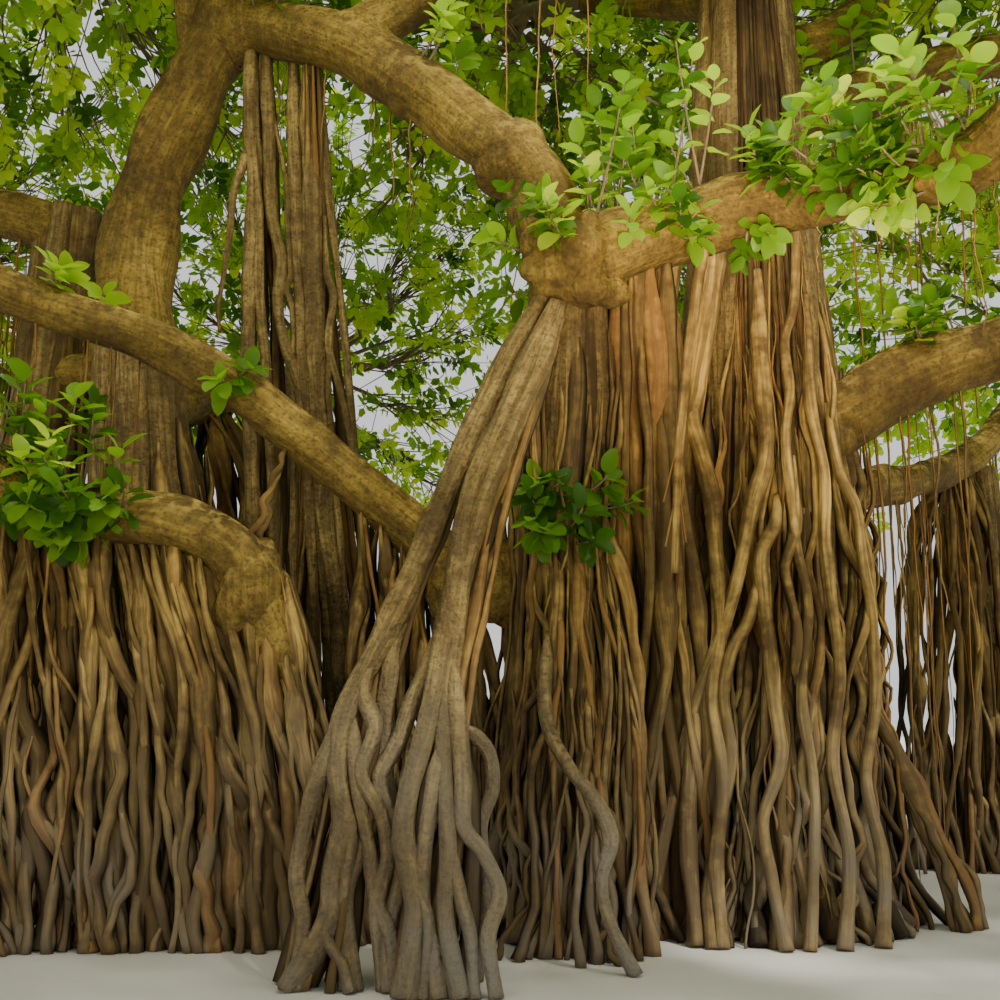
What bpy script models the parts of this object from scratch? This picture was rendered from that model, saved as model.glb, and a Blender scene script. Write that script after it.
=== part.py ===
"""A banyan: one fig tree that stands on fused trunks, prop roots and root curtains under a broad crown.

Metres, +Z up. The origin is the centre of the flat cut under the main trunk, +X runs to the right and +Y to
the back. Nothing reaches below the ground at Z = 0.
"""

import math
from collections import namedtuple

import bmesh
import bpy
import numpy as np
from mathutils import Matrix, Vector

# Driving dimensions of the crown: a dome over a vault, with a walk-in space in front of the trunks
CROWN_CENTRE = np.array([-2.0, 0.5])
CROWN_RADII = np.array([13.0, 11.5])
CROWN_TOP = 15.5
CROWN_RIM = 6.6
DOME_CURVE = 2.4
VAULT_TOP = 8.6
VAULT_RIM = 3.9
VAULT_CURVE = 1.6
FRONT_EDGE = -10.2
FRONT_HEIGHT = 1.7
FRONT_SLOPE = 0.65
FRONT_DEPTH = -0.8

# Rings of masses: how many, their share of the crown's radii, their height, and how far the ring is turned
Ring = namedtuple("Ring", "count share height turn")
RINGS = {
    "outer": Ring(10, 0.74, 7.4, 0.0),
    "upper": Ring(5, 0.37, 11.0, 18.0),
    "top": Ring(1, 0.0, 13.3, 0.0),
}

# Stems, twigs and leaves, where each leaf stands for a spray
STEM_THICK = 0.11
STEM_SIDES = 5
STEM_START = 0.4
STEM_END = 0.8
TWIG_THICK = 0.05
TWIG_SIDES = 3
TWIG_RINGS = 3
TWIGS_PER_MASS = 6
SPARE_DIRECTIONS = 3
TWIG_BEND = 0.08
TWIG_TAPER = 0.6
LONGEST_TWIG = 5.4
SHORTEST_TWIG = 1.3
TWIG_START = 0.3
REACH_STEP = 0.15
SIDE_LEAVES = (0.68, 0.34)
SIDE_LEAF_LEAN = 0.55
LEAF_LENGTH = 2.4
LEAF_SIZES = (1.0, 0.8, 0.62)
LEAF_SHARE_WIDE = 0.76
LEAF_SHARE_THICK = 0.03
LEAF_BELLY = -0.08
LEAF_SINK = 0.12
LEAF_ROOM = 0.3
LEAF_TILT = 0.6
LEAF_OUTLINE = np.array([(0.3, 0.35), (0.42, 0.5), (0.7, 0.27), (1.0, 0.0)])
SPACE_MARGIN = 0.04
GOLDEN_ANGLE = math.pi * (3 - math.sqrt(5))

# Sprigs: short stems with a few leaves on the upper side of a bough
SPRIG_STEM = 0.55
SPRIG_THICK = 0.035
SPRIG_LEAF = 0.55
SPRIG_LEAN = np.array([0.2, -0.5, 1.0])

# Gaps and cuts
GAP = 0.0003
CUT_GROWTH = 0.0004
GROUND_DEPTH = 0.4
GROUND_SPREAD = 60.0
MERGE = 0.000002

# Limbs and roots: sides and rings of their tubes, and how they swell, sway and splay
TRUNK_SIDES = 6
LIMB_SIDES = 6
ROOT_SIDES = 5
LIMB_RINGS = 6
ROOT_RINGS = 4
COLLAR = 0.12
RIB_TOPS = (0.45, 0.93)
RIB_DEPTH = 0.6
RIB_SWAY = 0.09
RIB_SPACING = 0.25
ROOT_SIZES = (0.85, 1.15)
ROOT_TAPER = 0.38
ROOT_FLARE = 0.28
ROOT_TWIST = 0.22
ROOT_FRONT = 0.55
HANG_SWAY = 0.06
HANG_LEAN = 0.04
HANG_TAPER = 0.55

COLOURS = {
    "bark": (0.42, 0.33, 0.22, 1.0),
    "root": (0.50, 0.44, 0.35, 1.0),
    "foliage": (0.16, 0.30, 0.06, 1.0),
}

# Trunks: axis from the ground up, core radii along it, and ribs that reach this far out at the ground
Trunk = namedtuple("Trunk", "axis core ribs spread thick")
TRUNKS = {
    "main_trunk": Trunk([(0, 0, 0), (0.16, 0, 2.6), (0.22, 0, 5.4), (0.24, 0, 8.6)],
                        (0.95, 0.84, 0.62, 0.42), 8, 1.3, 0.21),
    "centre_trunk": Trunk([(-1.55, -0.6, 0), (-1.6, -0.9, 2.4), (-1.52, -1.5, 5.3)],
                          (0.5, 0.4, 0.33, 0.4, 0.25), 3, 0.85, 0.15),
    "left_trunk": Trunk([(-4.9, 0.3, 0), (-5.2, 0.35, 3.0), (-5.38, 0.3, 5.0)],
                        (0.75, 0.6, 0.4), 5, 1.15, 0.2),
    "old_left_trunk": Trunk([(-6.9, 1.2, 0), (-6.5, 1.1, 3.4), (-6.3, 1.0, 6.5)],
                            (0.5, 0.4, 0.34), 2, 0.75, 0.17),
    "right_pillar": Trunk([(3.5, 3.4, 0), (3.5, 3.4, 2.4), (3.45, 3.3, 4.4)],
                          (0.42, 0.34, 0.2), 2, 0.68, 0.16),
    "rear_right_pillar": Trunk([(0.9, 4.7, 0), (0.85, 4.6, 2.6), (0.8, 4.5, 5.5)],
                               (0.4, 0.3, 0.2), 2, 0.6, 0.15),
    "rear_left_pillar": Trunk([(-4.6, 4.6, 0), (-4.55, 4.5, 2.8), (-4.5, 4.4, 5.75)],
                              (0.4, 0.3, 0.2), 2, 0.6, 0.15),
    "left_pillar": Trunk([(-9.3, 1.2, 0), (-9.25, 1.1, 3.0), (-9.2, 0.9, 6.85)],
                         (0.42, 0.3, 0.17), 2, 0.6, 0.15),
}

# Boughs: points that each passes, its radius at the start and at the tip, and the mass that it carries
Bough = namedtuple("Bough", "points thick thin mass")
BOUGHS = {
    "left_riser": Bough([(-5.37, 0.3, 4.7), (-5.36, 0.3, 6.2), (-4.84, 0.1, 7.43), (-4.4, 0, 8.2),
                         (-4.6, 0.6, 9.6)], 0.36, 0.24, ("upper", 2)),
    "arch_bough": Bough([(-4.45, 0, 7.95), (-3.46, -0.5, 7.42), (-2.64, -0.9, 6.72), (-1.81, -1.3, 5.78),
                         (-1.5, -1.5, 4.9)], 0.25, 0.27, None),
    "upper_left_bough": Bough([(-3.4, -0.5, 7.45), (-2.58, -0.6, 7.95), (-1.3, -1.2, 8.8), (-0.3, -1.9, 9.8)],
                              0.2, 0.14, ("upper", 4)),
    "riser_branch": Bough([(-4.9, 0.1, 7.4), (-4.98, -0.1, 8.4), (-4.9, -0.9, 9.3), (-4.85, -1.6, 9.9)],
                          0.13, 0.1, ("upper", 3)),
    "long_left_bough": Bough([(-1.7, -0.85, 2.2), (-2.84, -0.8, 3.13), (-4.38, -1.2, 4.29),
                              (-5.81, -1.6, 4.77), (-7.6, -2.7, 5.4), (-8.6, -3.6, 6.1)],
                             0.2, 0.13, ("outer", 6)),
    "low_left_bough": Bough([(-3.55, -1.3, 1.7), (-3.89, -1.4, 2.6), (-4.4, -1.5, 2.98), (-5.65, -1.7, 3.2),
                             (-6.5, -3.1, 4.2), (-6.0, -4.9, 5.7)], 0.22, 0.13, ("outer", 7)),
    "right_front_bough": Bough([(-1.42, -1.55, 5.0), (-0.99, -1.6, 5.15), (-0.09, -1.7, 5.39),
                                (0.55, -2.3, 5.27), (1.04, -3.3, 5.1), (1.5, -4.9, 5.9)],
                               0.27, 0.13, ("outer", 8)),
    "right_bough": Bough([(0.2, -0.1, 3.75), (0.9, -0.25, 4.12), (1.6, -0.35, 4.5), (2.4, -0.5, 4.75),
                          (3.8, -1.8, 5.3), (4.7, -3.1, 6.1)], 0.31, 0.15, ("outer", 9)),
    "low_right_bough": Bough([(0.3, 0.2, 3.4), (1.52, 1.4, 3.8), (2.6, 2.5, 4.15), (3.45, 3.3, 4.6),
                              (4.5, 4.3, 5.6)], 0.22, 0.14, ("outer", 1)),
    "upper_right_bough": Bough([(0.2, 0.1, 6.9), (1.0, 0.4, 7.28), (2.76, 0.4, 7.86), (4.4, 0.5, 7.9),
                                (5.6, 0.5, 7.7)], 0.26, 0.14, ("outer", 0)),
    "top_right_bough": Bough([(0.2, 0.2, 7.7), (1.2, 0.5, 8.1), (1.9, 0.9, 8.9), (2.3, 1.3, 9.7)],
                             0.23, 0.14, ("upper", 0)),
    "left_back_bough": Bough([(-6.3, 1.0, 6.3), (-7.2, 1.0, 6.55), (-8.6, 1.0, 6.7), (-9.8, 0.8, 7.0)],
                             0.24, 0.14, ("outer", 5)),
    "left_rear_bough": Bough([(-6.4, 1.05, 5.5), (-7.1, 2.2, 6.1), (-7.9, 3.4, 6.5), (-8.6, 4.3, 7.0)],
                             0.2, 0.13, ("outer", 4)),
    "rear_right_bough": Bough([(0.2, 0.2, 4.9), (0.5, 2.2, 5.3), (0.8, 4.5, 5.5), (0.95, 6.6, 6.4)],
                              0.24, 0.14, ("outer", 2)),
    "rear_left_bough": Bough([(-5.25, 0.4, 4.3), (-4.8, 2.3, 5.1), (-4.5, 4.4, 5.75), (-4.7, 6.5, 6.5)],
                             0.24, 0.14, ("outer", 3)),
    "graft_bough": Bough([(-5.2, 0.45, 4.65), (-5.9, 0.8, 4.8), (-6.45, 1.05, 4.85)], 0.19, 0.17, None),
    "fork_back_bough": Bough([(0.24, 0.1, 8.3), (-0.2, 1.3, 9.0), (-1.0, 2.7, 9.9)],
                             0.22, 0.14, ("upper", 1)),
    "fork_top_bough": Bough([(0.22, 0, 8.3), (-0.1, 0.1, 9.8), (-0.9, 0.3, 11.5)], 0.24, 0.13, ("top", 0)),
}

# Bundles of roots: top, middle and foot, the bundle's half width there, number of roots and their radius
Bundle = namedtuple("Bundle", "points widths roots thick")
BUNDLES = {
    "prop_left_leg": Bundle([(-1.7, -1.62, 4.75), (-2.72, -2.1, 2.3), (-3.2, -2.65, 0)],
                            (0.08, 0.16, 0.36), 4, 0.1),
    "prop_right_leg": Bundle([(-1.62, -1.75, 4.6), (-2.22, -2.2, 2.3), (-2.5, -2.85, 0)],
                             (0.08, 0.13, 0.3), 3, 0.105),
    "low_bough_root": Bundle([(-3.72, -1.35, 2.35), (-3.5, -1.3, 1.2), (-3.35, -1.25, 0)],
                             (0.12, 0.2, 0.4), 3, 0.15),
    "inner_curtain": Bundle([(-4.45, -1.48, 2.9), (-4.2, -1.4, 1.4), (-4.15, -1.35, 0)],
                            (0.22, 0.3, 0.4), 3, 0.1),
    "middle_curtain": Bundle([(-5.1, -1.58, 3.1), (-5.0, -1.5, 1.5), (-5.05, -1.4, 0)],
                             (0.2, 0.3, 0.36), 3, 0.095),
    "outer_curtain": Bundle([(-5.75, -1.75, 3.2), (-5.85, -1.7, 1.6), (-5.9, -1.6, 0)],
                            (0.2, 0.28, 0.36), 3, 0.095),
    "centre_curtain": Bundle([(-1.45, -1.22, 3.1), (-1.35, -1.45, 1.5), (-1.42, -1.65, 0)],
                             (0.1, 0.2, 0.32), 3, 0.08),
    "left_hanging_pillar": Bundle([(-4.2, -0.15, 7.75), (-4.17, 0.2, 4.5), (-3.95, 0.1, 0)],
                                  (0.04, 0.1, 0.36), 2, 0.13),
    "right_hanging_pillar": Bundle([(-3.75, -0.35, 7.5), (-3.6, 0.2, 4.1), (-3.15, 0.3, 0)],
                                   (0.04, 0.1, 0.36), 2, 0.13),
    "tie_root": Bundle([(-3.7, -1.02, 3.72), (-3.82, -1.22, 3.2), (-3.95, -1.38, 2.62)],
                       (0.02, 0.03, 0.03), 1, 0.08),
    "leaning_root": Bundle([(0.5, -0.45, 2.6), (0.95, -0.62, 1.5), (1.42, -0.7, 0)],
                           (0.02, 0.04, 0.1), 1, 0.1),
    "pale_root": Bundle([(-0.1, -0.72, 3.4), (0.02, -0.98, 1.6), (0.0, -1.22, 0)],
                        (0.02, 0.05, 0.14), 1, 0.09),
}

# Roots that hang from a bough and end in the air: where each starts, how far it drops and its radius
Hanging = namedtuple("Hanging", "start drop thick")
HANGING = {
    "hanging_root": Hanging((-0.5, -1.66, 5.2), 2.6, 0.045),
}

# Small clusters of leaves on the upper side of a bough: which bough, how far along it, number of leaves
Sprig = namedtuple("Sprig", "bough share leaves")
SPRIGS = {
    "knot_sprig": Sprig("right_front_bough", 0.12, 3),
    "front_sprig": Sprig("right_front_bough", 0.66, 3),
    "left_sprig": Sprig("low_left_bough", 0.36, 3),
}


# Routes and sizes along them

def unit(vector):
    return vector / np.linalg.norm(vector)


def smooth(points, count):
    """Even steps along a Catmull-Rom curve through a few points."""
    points = np.asarray(points, float)
    padded = np.vstack([2 * points[0] - points[1], points, 2 * points[-1] - points[-2]])
    steps = np.linspace(0, len(points) - 1, 40 * len(points))
    span = np.minimum(steps.astype(int), len(points) - 2)
    u = (steps - span)[:, None]
    a, b, c, d = (padded[span + k] for k in range(4))
    curve = 0.5 * (2 * b + (c - a) * u + (2 * a - 5 * b + 4 * c - d) * u**2 + (3 * b - a - 3 * c + d) * u**3)
    along = np.append(0, np.cumsum(np.linalg.norm(np.diff(curve, axis=0), axis=1)))
    even = np.linspace(0, along[-1], count)
    return np.stack([np.interp(even, along, curve[:, k]) for k in range(3)], axis=1)


def spread_over(values, count):
    """A few values drawn out evenly to this many."""
    return np.interp(np.linspace(0, 1, count), np.linspace(0, 1, len(values)), values)


def place_on(route, share):
    """The point at this share of a route, counted in its rings."""
    at = share * (len(route) - 1)
    return np.array([np.interp(at, np.arange(len(route)), route[:, k]) for k in range(3)])


def root_widths(rng, down):
    """A root's width down its length: it narrows from its top, and flares at its foot."""
    return rng.uniform(*ROOT_SIZES) * (1.12 - ROOT_TAPER * down + ROOT_FLARE * down**4)


def into_ground(route, radii):
    """The same root with one more point under the ground, where the flat cut will be made."""
    below = route[-1] - [0, 0, GROUND_DEPTH]
    return np.vstack([route, below]), np.append(radii, radii[-1])


# Blender shapes

def section(sides):
    """A closed ring of radius 1 with this many sides, which a curve carries along its length."""
    name = f"section_{sides}"
    if name in bpy.data.objects:
        return bpy.data.objects[name]
    curve = bpy.data.curves.new(name, "CURVE")
    spline = curve.splines.new("POLY")
    spline.points.add(sides - 1)
    for point, angle in zip(spline.points, np.arange(sides) * 2 * math.pi / sides):
        point.co = (math.cos(angle), math.sin(angle), 0, 1)
    spline.use_cyclic_u = True
    ring = bpy.data.objects.new(name, curve)
    ring.hide_render = True
    ring.display_type = "WIRE"
    bpy.data.collections["guides"].objects.link(ring)
    return ring


def in_workshop(name, data):
    """A new object in the collection where shapes wait until they are joined."""
    made = bpy.data.objects.new(name, data)
    bpy.data.collections["workshop"].objects.link(made)
    return made


def as_mesh(obj, name):
    """A mesh object made from what obj shows, with its doubles merged and its faces out. obj is removed."""
    graph = bpy.context.evaluated_depsgraph_get()
    mesh = bpy.data.meshes.new_from_object(obj.evaluated_get(graph))
    mesh.transform(obj.matrix_world)
    bpy.data.objects.remove(obj)
    shape = bmesh.new()
    shape.from_mesh(mesh)
    bmesh.ops.remove_doubles(shape, verts=shape.verts, dist=MERGE)
    bmesh.ops.recalc_face_normals(shape, faces=shape.faces)
    shape.to_mesh(mesh)
    shape.free()
    return in_workshop(name, mesh)


def split_to_triangles(mesh):
    """Cuts each four-sided face along the same diagonal, so that a limb and its larger copy stay parallel."""
    shape = bmesh.new()
    shape.from_mesh(mesh)
    bmesh.ops.triangulate(shape, faces=shape.faces, quad_method="FIXED")
    shape.to_mesh(mesh)
    shape.free()


def tube(route, radii, sides, growth=0.0):
    """A limb as a solid: a poly curve with a radius at each point, a ring as its bevel, and filled caps.

    growth makes it that much larger all over, for a cutter that leaves a gap.
    """
    route = np.array(route, float)
    route[0] -= growth * unit(route[1] - route[0])
    route[-1] += growth * unit(route[-1] - route[-2])
    curve = bpy.data.curves.new("limb", "CURVE")
    curve.dimensions = "3D"
    curve.bevel_mode = "OBJECT"
    curve.bevel_object = section(sides)
    curve.use_fill_caps = True
    spline = curve.splines.new("POLY")
    spline.points.add(len(route) - 1)
    for point, place, radius in zip(spline.points, route, radii):
        point.co = (*place, 1)
        point.radius = radius + growth / math.cos(math.pi / sides)
    made = as_mesh(in_workshop("limb", curve), "limb")
    if sides > TWIG_SIDES:
        split_to_triangles(made.data)
    return made


def islands_of(shape):
    """The faces of each closed surface in a bmesh."""
    islands, seen = [], set()
    for start in shape.faces:
        if start in seen:
            continue
        island, waiting = [], [start]
        seen.add(start)
        while waiting:
            face = waiting.pop()
            island.append(face)
            for other in (f for edge in face.edges for f in edge.link_faces if f not in seen):
                seen.add(other)
                waiting.append(other)
        islands.append(island)
    return islands


def keep_outer_shell(mesh):
    """Keeps the surface with the largest box: loose scraps go, and sealed hollows are filled."""
    shape = bmesh.new()
    shape.from_mesh(mesh)

    def size(island):
        points = np.array([vertex.co for face in island for vertex in face.verts])
        return np.linalg.norm(points.max(0) - points.min(0))

    kept = set(max(islands_of(shape), key=size))
    bmesh.ops.delete(shape, geom=[face for face in shape.faces if face not in kept], context="FACES")
    bmesh.ops.triangulate(shape, faces=shape.faces)
    shape.to_mesh(mesh)
    shape.free()


def combine(first, others, operation):
    """One Boolean between first and a collection of shapes, applied. The shapes are removed."""
    if not others:
        return first
    group = bpy.data.collections.new("operands")
    bpy.context.scene.collection.children.link(group)
    for shape in others:
        bpy.data.collections["workshop"].objects.unlink(shape)
        group.objects.link(shape)
    modifier = first.modifiers.new("Combine", "BOOLEAN")
    modifier.operation = operation
    modifier.operand_type = "COLLECTION"
    modifier.collection = group
    made = as_mesh(first, "combined")
    for shape in list(group.objects):
        bpy.data.objects.remove(shape)
    bpy.data.collections.remove(group)
    keep_outer_shell(made.data)
    return made


def ground_block():
    """What lies under Z = 0, as a cutter."""
    bpy.ops.mesh.primitive_cube_add(size=1, location=(0, 0, 0))
    block = bpy.context.object
    block.data.transform(Matrix.Translation((0, 0, -0.5)))
    block.data.transform(Matrix.Diagonal((GROUND_SPREAD, GROUND_SPREAD, 2 * GROUND_DEPTH + 1, 1)))
    for home in list(block.users_collection):
        home.objects.unlink(block)
    bpy.data.collections["workshop"].objects.link(block)
    return block


def finish(node, name, colour):
    """Names a solid, gives it its material and puts it in the tree's collection."""
    node.name = name
    node.data.name = name
    bpy.data.collections["workshop"].objects.unlink(node)
    bpy.data.collections["banyan"].objects.link(node)
    node.data.materials.clear()
    node.data.materials.append(bpy.data.materials[colour])


def make_materials():
    for name, colour in COLOURS.items():
        made = bpy.data.materials.new(name)
        made.use_nodes = True
        shader = made.node_tree.nodes["Principled BSDF"]
        shader.inputs["Base Color"].default_value = colour
        shader.inputs["Roughness"].default_value = 0.8
        shader.inputs["Metallic"].default_value = 0.0


# Wood: limbs that are fused from tubes and cut clear of those before them

def box_of(tubes):
    """The lowest and highest corner of these tubes."""
    wide = max(max(radii) for _, radii, _ in tubes) + 2 * CUT_GROWTH
    points = np.vstack([route for route, _, _ in tubes])
    return points.min(0) - wide, points.max(0) + wide


def cutters_near(limbs, tubes):
    """Slightly larger copies of the limbs whose boxes meet the box of tubes."""
    low, high = box_of(tubes)
    cutters = []
    for limb in (one for group in limbs.values() for one in group):
        limb_low, limb_high = box_of([limb])
        if np.all(limb_low < high) and np.all(limb_high > low):
            cutters.append(tube(*limb, growth=CUT_GROWTH))
    return cutters


def add_wood(limbs, name, tubes, colour):
    """Fuses tubes into one named node, cut flat at the ground and clear of the limbs before it."""
    first, *rest = [tube(*one) for one in tubes]
    node = combine(first, rest, "UNION")
    if box_of(tubes)[0][2] < 0:
        node = combine(node, [ground_block()], "DIFFERENCE")
    node = combine(node, cutters_near(limbs, tubes), "DIFFERENCE")
    limbs[name] = tubes
    finish(node, name, colour)


def rib(line, inner, angle, size, rng):
    """A root fused into a trunk's side, which starts part of the way up, sways and splays out at the foot."""
    out = np.array([math.cos(angle), math.sin(angle), 0.0])
    side = np.array([-out[1], out[0], 0.0])
    down = np.linspace(0, 1, ROOT_RINGS)
    heights = line[-1, 2] * rng.uniform(*RIB_TOPS) * (1 - down)
    centre = np.stack([np.interp(heights, line[:, 2], line[:, k]) for k in range(3)], axis=1)
    width = np.interp(heights, line[:, 2], inner)
    reach = width * RIB_DEPTH + (size.spread - width * RIB_DEPTH) * down**2
    sway = RIB_SWAY * np.sin(5 * down + rng.uniform(0, 6)) * np.sin(math.pi * down)
    route = centre + out * reach[:, None] + side * sway[:, None]
    return (*into_ground(route, size.thick * root_widths(rng, down)), ROOT_SIDES)


def trunk(size, seed):
    """A fused trunk: a core along its axis, from under the ground up, with ribs round it."""
    rng = np.random.default_rng(seed)
    line = smooth(size.axis, LIMB_RINGS)
    inner = spread_over(size.core, LIMB_RINGS)
    axis = np.vstack([line[0] - [0, 0, GROUND_DEPTH], line])
    tubes = [(axis, np.append(inner[0], inner), TRUNK_SIDES)]
    for i in range(size.ribs):
        angle = 2 * math.pi * (i + rng.uniform(-RIB_SPACING, RIB_SPACING)) / size.ribs
        tubes.append(rib(line, inner, angle, size, rng))
    return tubes


def bough(size):
    """One tapering limb with a collar where it leaves the wood that bears it."""
    along = np.linspace(0, 1, LIMB_RINGS + len(size.points) - 3)
    radii = (size.thick + (size.thin - size.thick) * along) * (1 + COLLAR * np.exp(-along * 10))
    return [(smooth(size.points, len(along)), radii, LIMB_SIDES)]


def bundle(size, seed):
    """Roots that leave a bough side by side, twist about each other on the way down and splay out."""
    rng = np.random.default_rng(seed)
    line = smooth(size.points, ROOT_RINGS)
    reach = spread_over(size.widths, ROOT_RINGS)
    down = np.linspace(0, 1, ROOT_RINGS)
    tubes = []
    for i in range(size.roots):
        place = 2 * (i + 0.5) / size.roots - 1
        phase = rng.uniform(0, 2 * math.pi)
        across = reach * (place + ROOT_TWIST * np.sin(4 * down + phase) * np.sin(math.pi * down))
        front = ROOT_FRONT * reach * np.cos(2 * math.pi * (place + 0.3 * down) + 0.4 * phase)
        route = line + np.stack([across, front, np.zeros(ROOT_RINGS)], axis=1)
        radii = size.thick * root_widths(rng, down)
        if line[-1, 2] <= 0:
            route, radii = into_ground(route, radii)
        tubes.append((route, radii, ROOT_SIDES))
    return tubes


def hanging(size, seed):
    """A root that hangs free, with a slight bend."""
    rng = np.random.default_rng(seed)
    down = np.linspace(0, 1, LIMB_RINGS)
    sway = HANG_SWAY * np.sin(3 * down)
    route = np.asarray(size.start) - np.stack([sway, HANG_LEAN * down, size.drop * down], axis=1)
    return [(route, size.thick * rng.uniform(*ROOT_SIZES) * (1 - HANG_TAPER * down), ROOT_SIDES)]


# The crown's outline, and the room that each mass keeps to

def in_crown(points):
    """Which points lie under the crown's dome, over its vault and clear of the walk-in space in front."""
    share = np.linalg.norm((points[:, :2] - CROWN_CENTRE) / CROWN_RADII, axis=1)
    top = CROWN_RIM + (CROWN_TOP - CROWN_RIM) * np.sqrt(np.clip(1 - share**DOME_CURVE, 0, None))
    bottom = VAULT_RIM + (VAULT_TOP - VAULT_RIM) * (1 - share**VAULT_CURVE)
    front = FRONT_HEIGHT + FRONT_SLOPE * (points[:, 1] - FRONT_EDGE)
    bottom = np.where(points[:, 1] < FRONT_DEPTH, np.maximum(bottom, front), bottom)
    return (share < 1) & (bottom < points[:, 2]) & (points[:, 2] < top)


def mass_centres():
    """The middle of each mass, by ring and number."""
    centres = {}
    for name, ring in RINGS.items():
        for i in range(ring.count):
            angle = math.radians(ring.turn + 360 * i / ring.count)
            flat = CROWN_CENTRE + ring.share * CROWN_RADII * [math.cos(angle), math.sin(angle)]
            centres[name, i] = np.append(flat, ring.height)
    return centres


def stretches_of(limbs):
    """The start, end and thickest radius of each straight stretch of the limbs."""
    tubes = [one for group in limbs.values() for one in group]
    starts = np.vstack([route[:-1] for route, _, _ in tubes])
    ends = np.vstack([route[1:] for route, _, _ in tubes])
    radii = np.concatenate([np.maximum(wide[:-1], wide[1:]) for _, wide, _ in tubes])
    return starts, ends, radii


def distance_to_wood(points, stretches):
    """How far each point lies from the nearest limb's surface."""
    starts, ends, radii = stretches
    run = ends - starts
    share = np.einsum("psk,sk->ps", points[:, None] - starts, run) / np.einsum("sk,sk->s", run, run)
    nearest = starts + np.clip(share, 0, 1)[..., None] * run
    return (np.linalg.norm(points[:, None] - nearest, axis=2) - radii).min(axis=1)


def holds(space, points, margin):
    """Whether all points are nearer the space's own centre than any other, in the crown and clear of wood."""
    own = np.linalg.norm(points - space["centre"], axis=1)
    rest = np.linalg.norm(points[:, None] - space["others"], axis=2).min(axis=1)
    if not (np.all(own + margin < rest) and np.all(in_crown(points))):
        return False
    return bool(np.all(distance_to_wood(points, space["wood"]) > margin))


# Foliage: a stem, twigs that branch from it, and leaves that each stand for a spray

def leaf(base, along, normal, length):
    """A leaf of 8 faces: an octahedron drawn out, flat, and widest a little below its middle."""
    shape = bmesh.new()
    bmesh.ops.create_uvsphere(shape, u_segments=4, v_segments=2, radius=0.5)
    for vertex in shape.verts:
        belly = LEAF_BELLY if abs(vertex.co.x) < MERGE else 0.0
        flat = Vector((vertex.co.x + belly, vertex.co.y * LEAF_SHARE_WIDE, vertex.co.z * LEAF_SHARE_THICK))
        vertex.co = flat * length
    x = Vector(along).normalized()
    z = (Vector(normal) - x * x.dot(Vector(normal))).normalized()
    turn = Matrix((x, z.cross(x), z)).transposed().to_4x4()
    middle = Vector(base) + x * length * 0.5
    bmesh.ops.transform(shape, matrix=Matrix.Translation(middle) @ turn, verts=shape.verts)
    mesh = bpy.data.meshes.new("leaf")
    shape.to_mesh(mesh)
    shape.free()
    return in_workshop("leaf", mesh)


def leaf_points(base, along, normal, length):
    """Points over a leaf, to test it against its space before it is made."""
    along = unit(along)
    across = unit(np.cross(normal, along))
    run, wide = LEAF_OUTLINE.T * length
    middle = base + along * run[:, None]
    edge = across * wide[:, None] * LEAF_SHARE_WIDE
    return np.vstack([middle, middle + edge, middle - edge])


def directions(outward, count, rng):
    """Directions spread evenly over the sphere, those that point most outward first."""
    step = np.arange(count) + 0.5
    height = 1 - 2 * step / count
    around = step * GOLDEN_ANGLE + rng.uniform(0, 6)
    flat = np.sqrt(1 - height**2)
    spread = np.stack([flat * np.cos(around), flat * np.sin(around), height], axis=1)
    return spread[np.argsort(-(spread @ outward))]


def reach_of(space, start, direction):
    """How far a straight line from start stays in its space."""
    length = 0.0
    for longer in np.arange(TWIG_START, LONGEST_TWIG, REACH_STEP):
        if not holds(space, np.array([start + direction * longer]), SPACE_MARGIN):
            break
        length = longer
    return length


def leaf_places(line, direction, upward, rng):
    """Where leaves sit on a twig: one that ends it, and one to each side below."""
    yield line[-1] - direction * LEAF_SINK, direction, unit(upward + LEAF_TILT * rng.normal(size=3))
    for i, share in enumerate(SIDE_LEAVES):
        side = unit(np.cross(direction, upward + 0.5 * LEAF_TILT * rng.normal(size=3))) * (-1) ** i
        along = unit(side + SIDE_LEAF_LEAN * direction)
        yield place_on(line, share), along, unit(upward + LEAF_TILT * rng.normal(size=3))


def grow_leaf(space, taken, place, along, normal):
    """The largest leaf that fits its space there and stays apart from those already taken, or none."""
    for share in LEAF_SIZES:
        points = leaf_points(place, along, normal, LEAF_LENGTH * share)
        apart = np.linalg.norm(points[:, None] - np.vstack(taken), axis=2).min() > LEAF_ROOM
        if apart and holds(space, points, SPACE_MARGIN):
            taken.append(points)
            return [leaf(place, along, normal, LEAF_LENGTH * share)]
    return []


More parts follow.
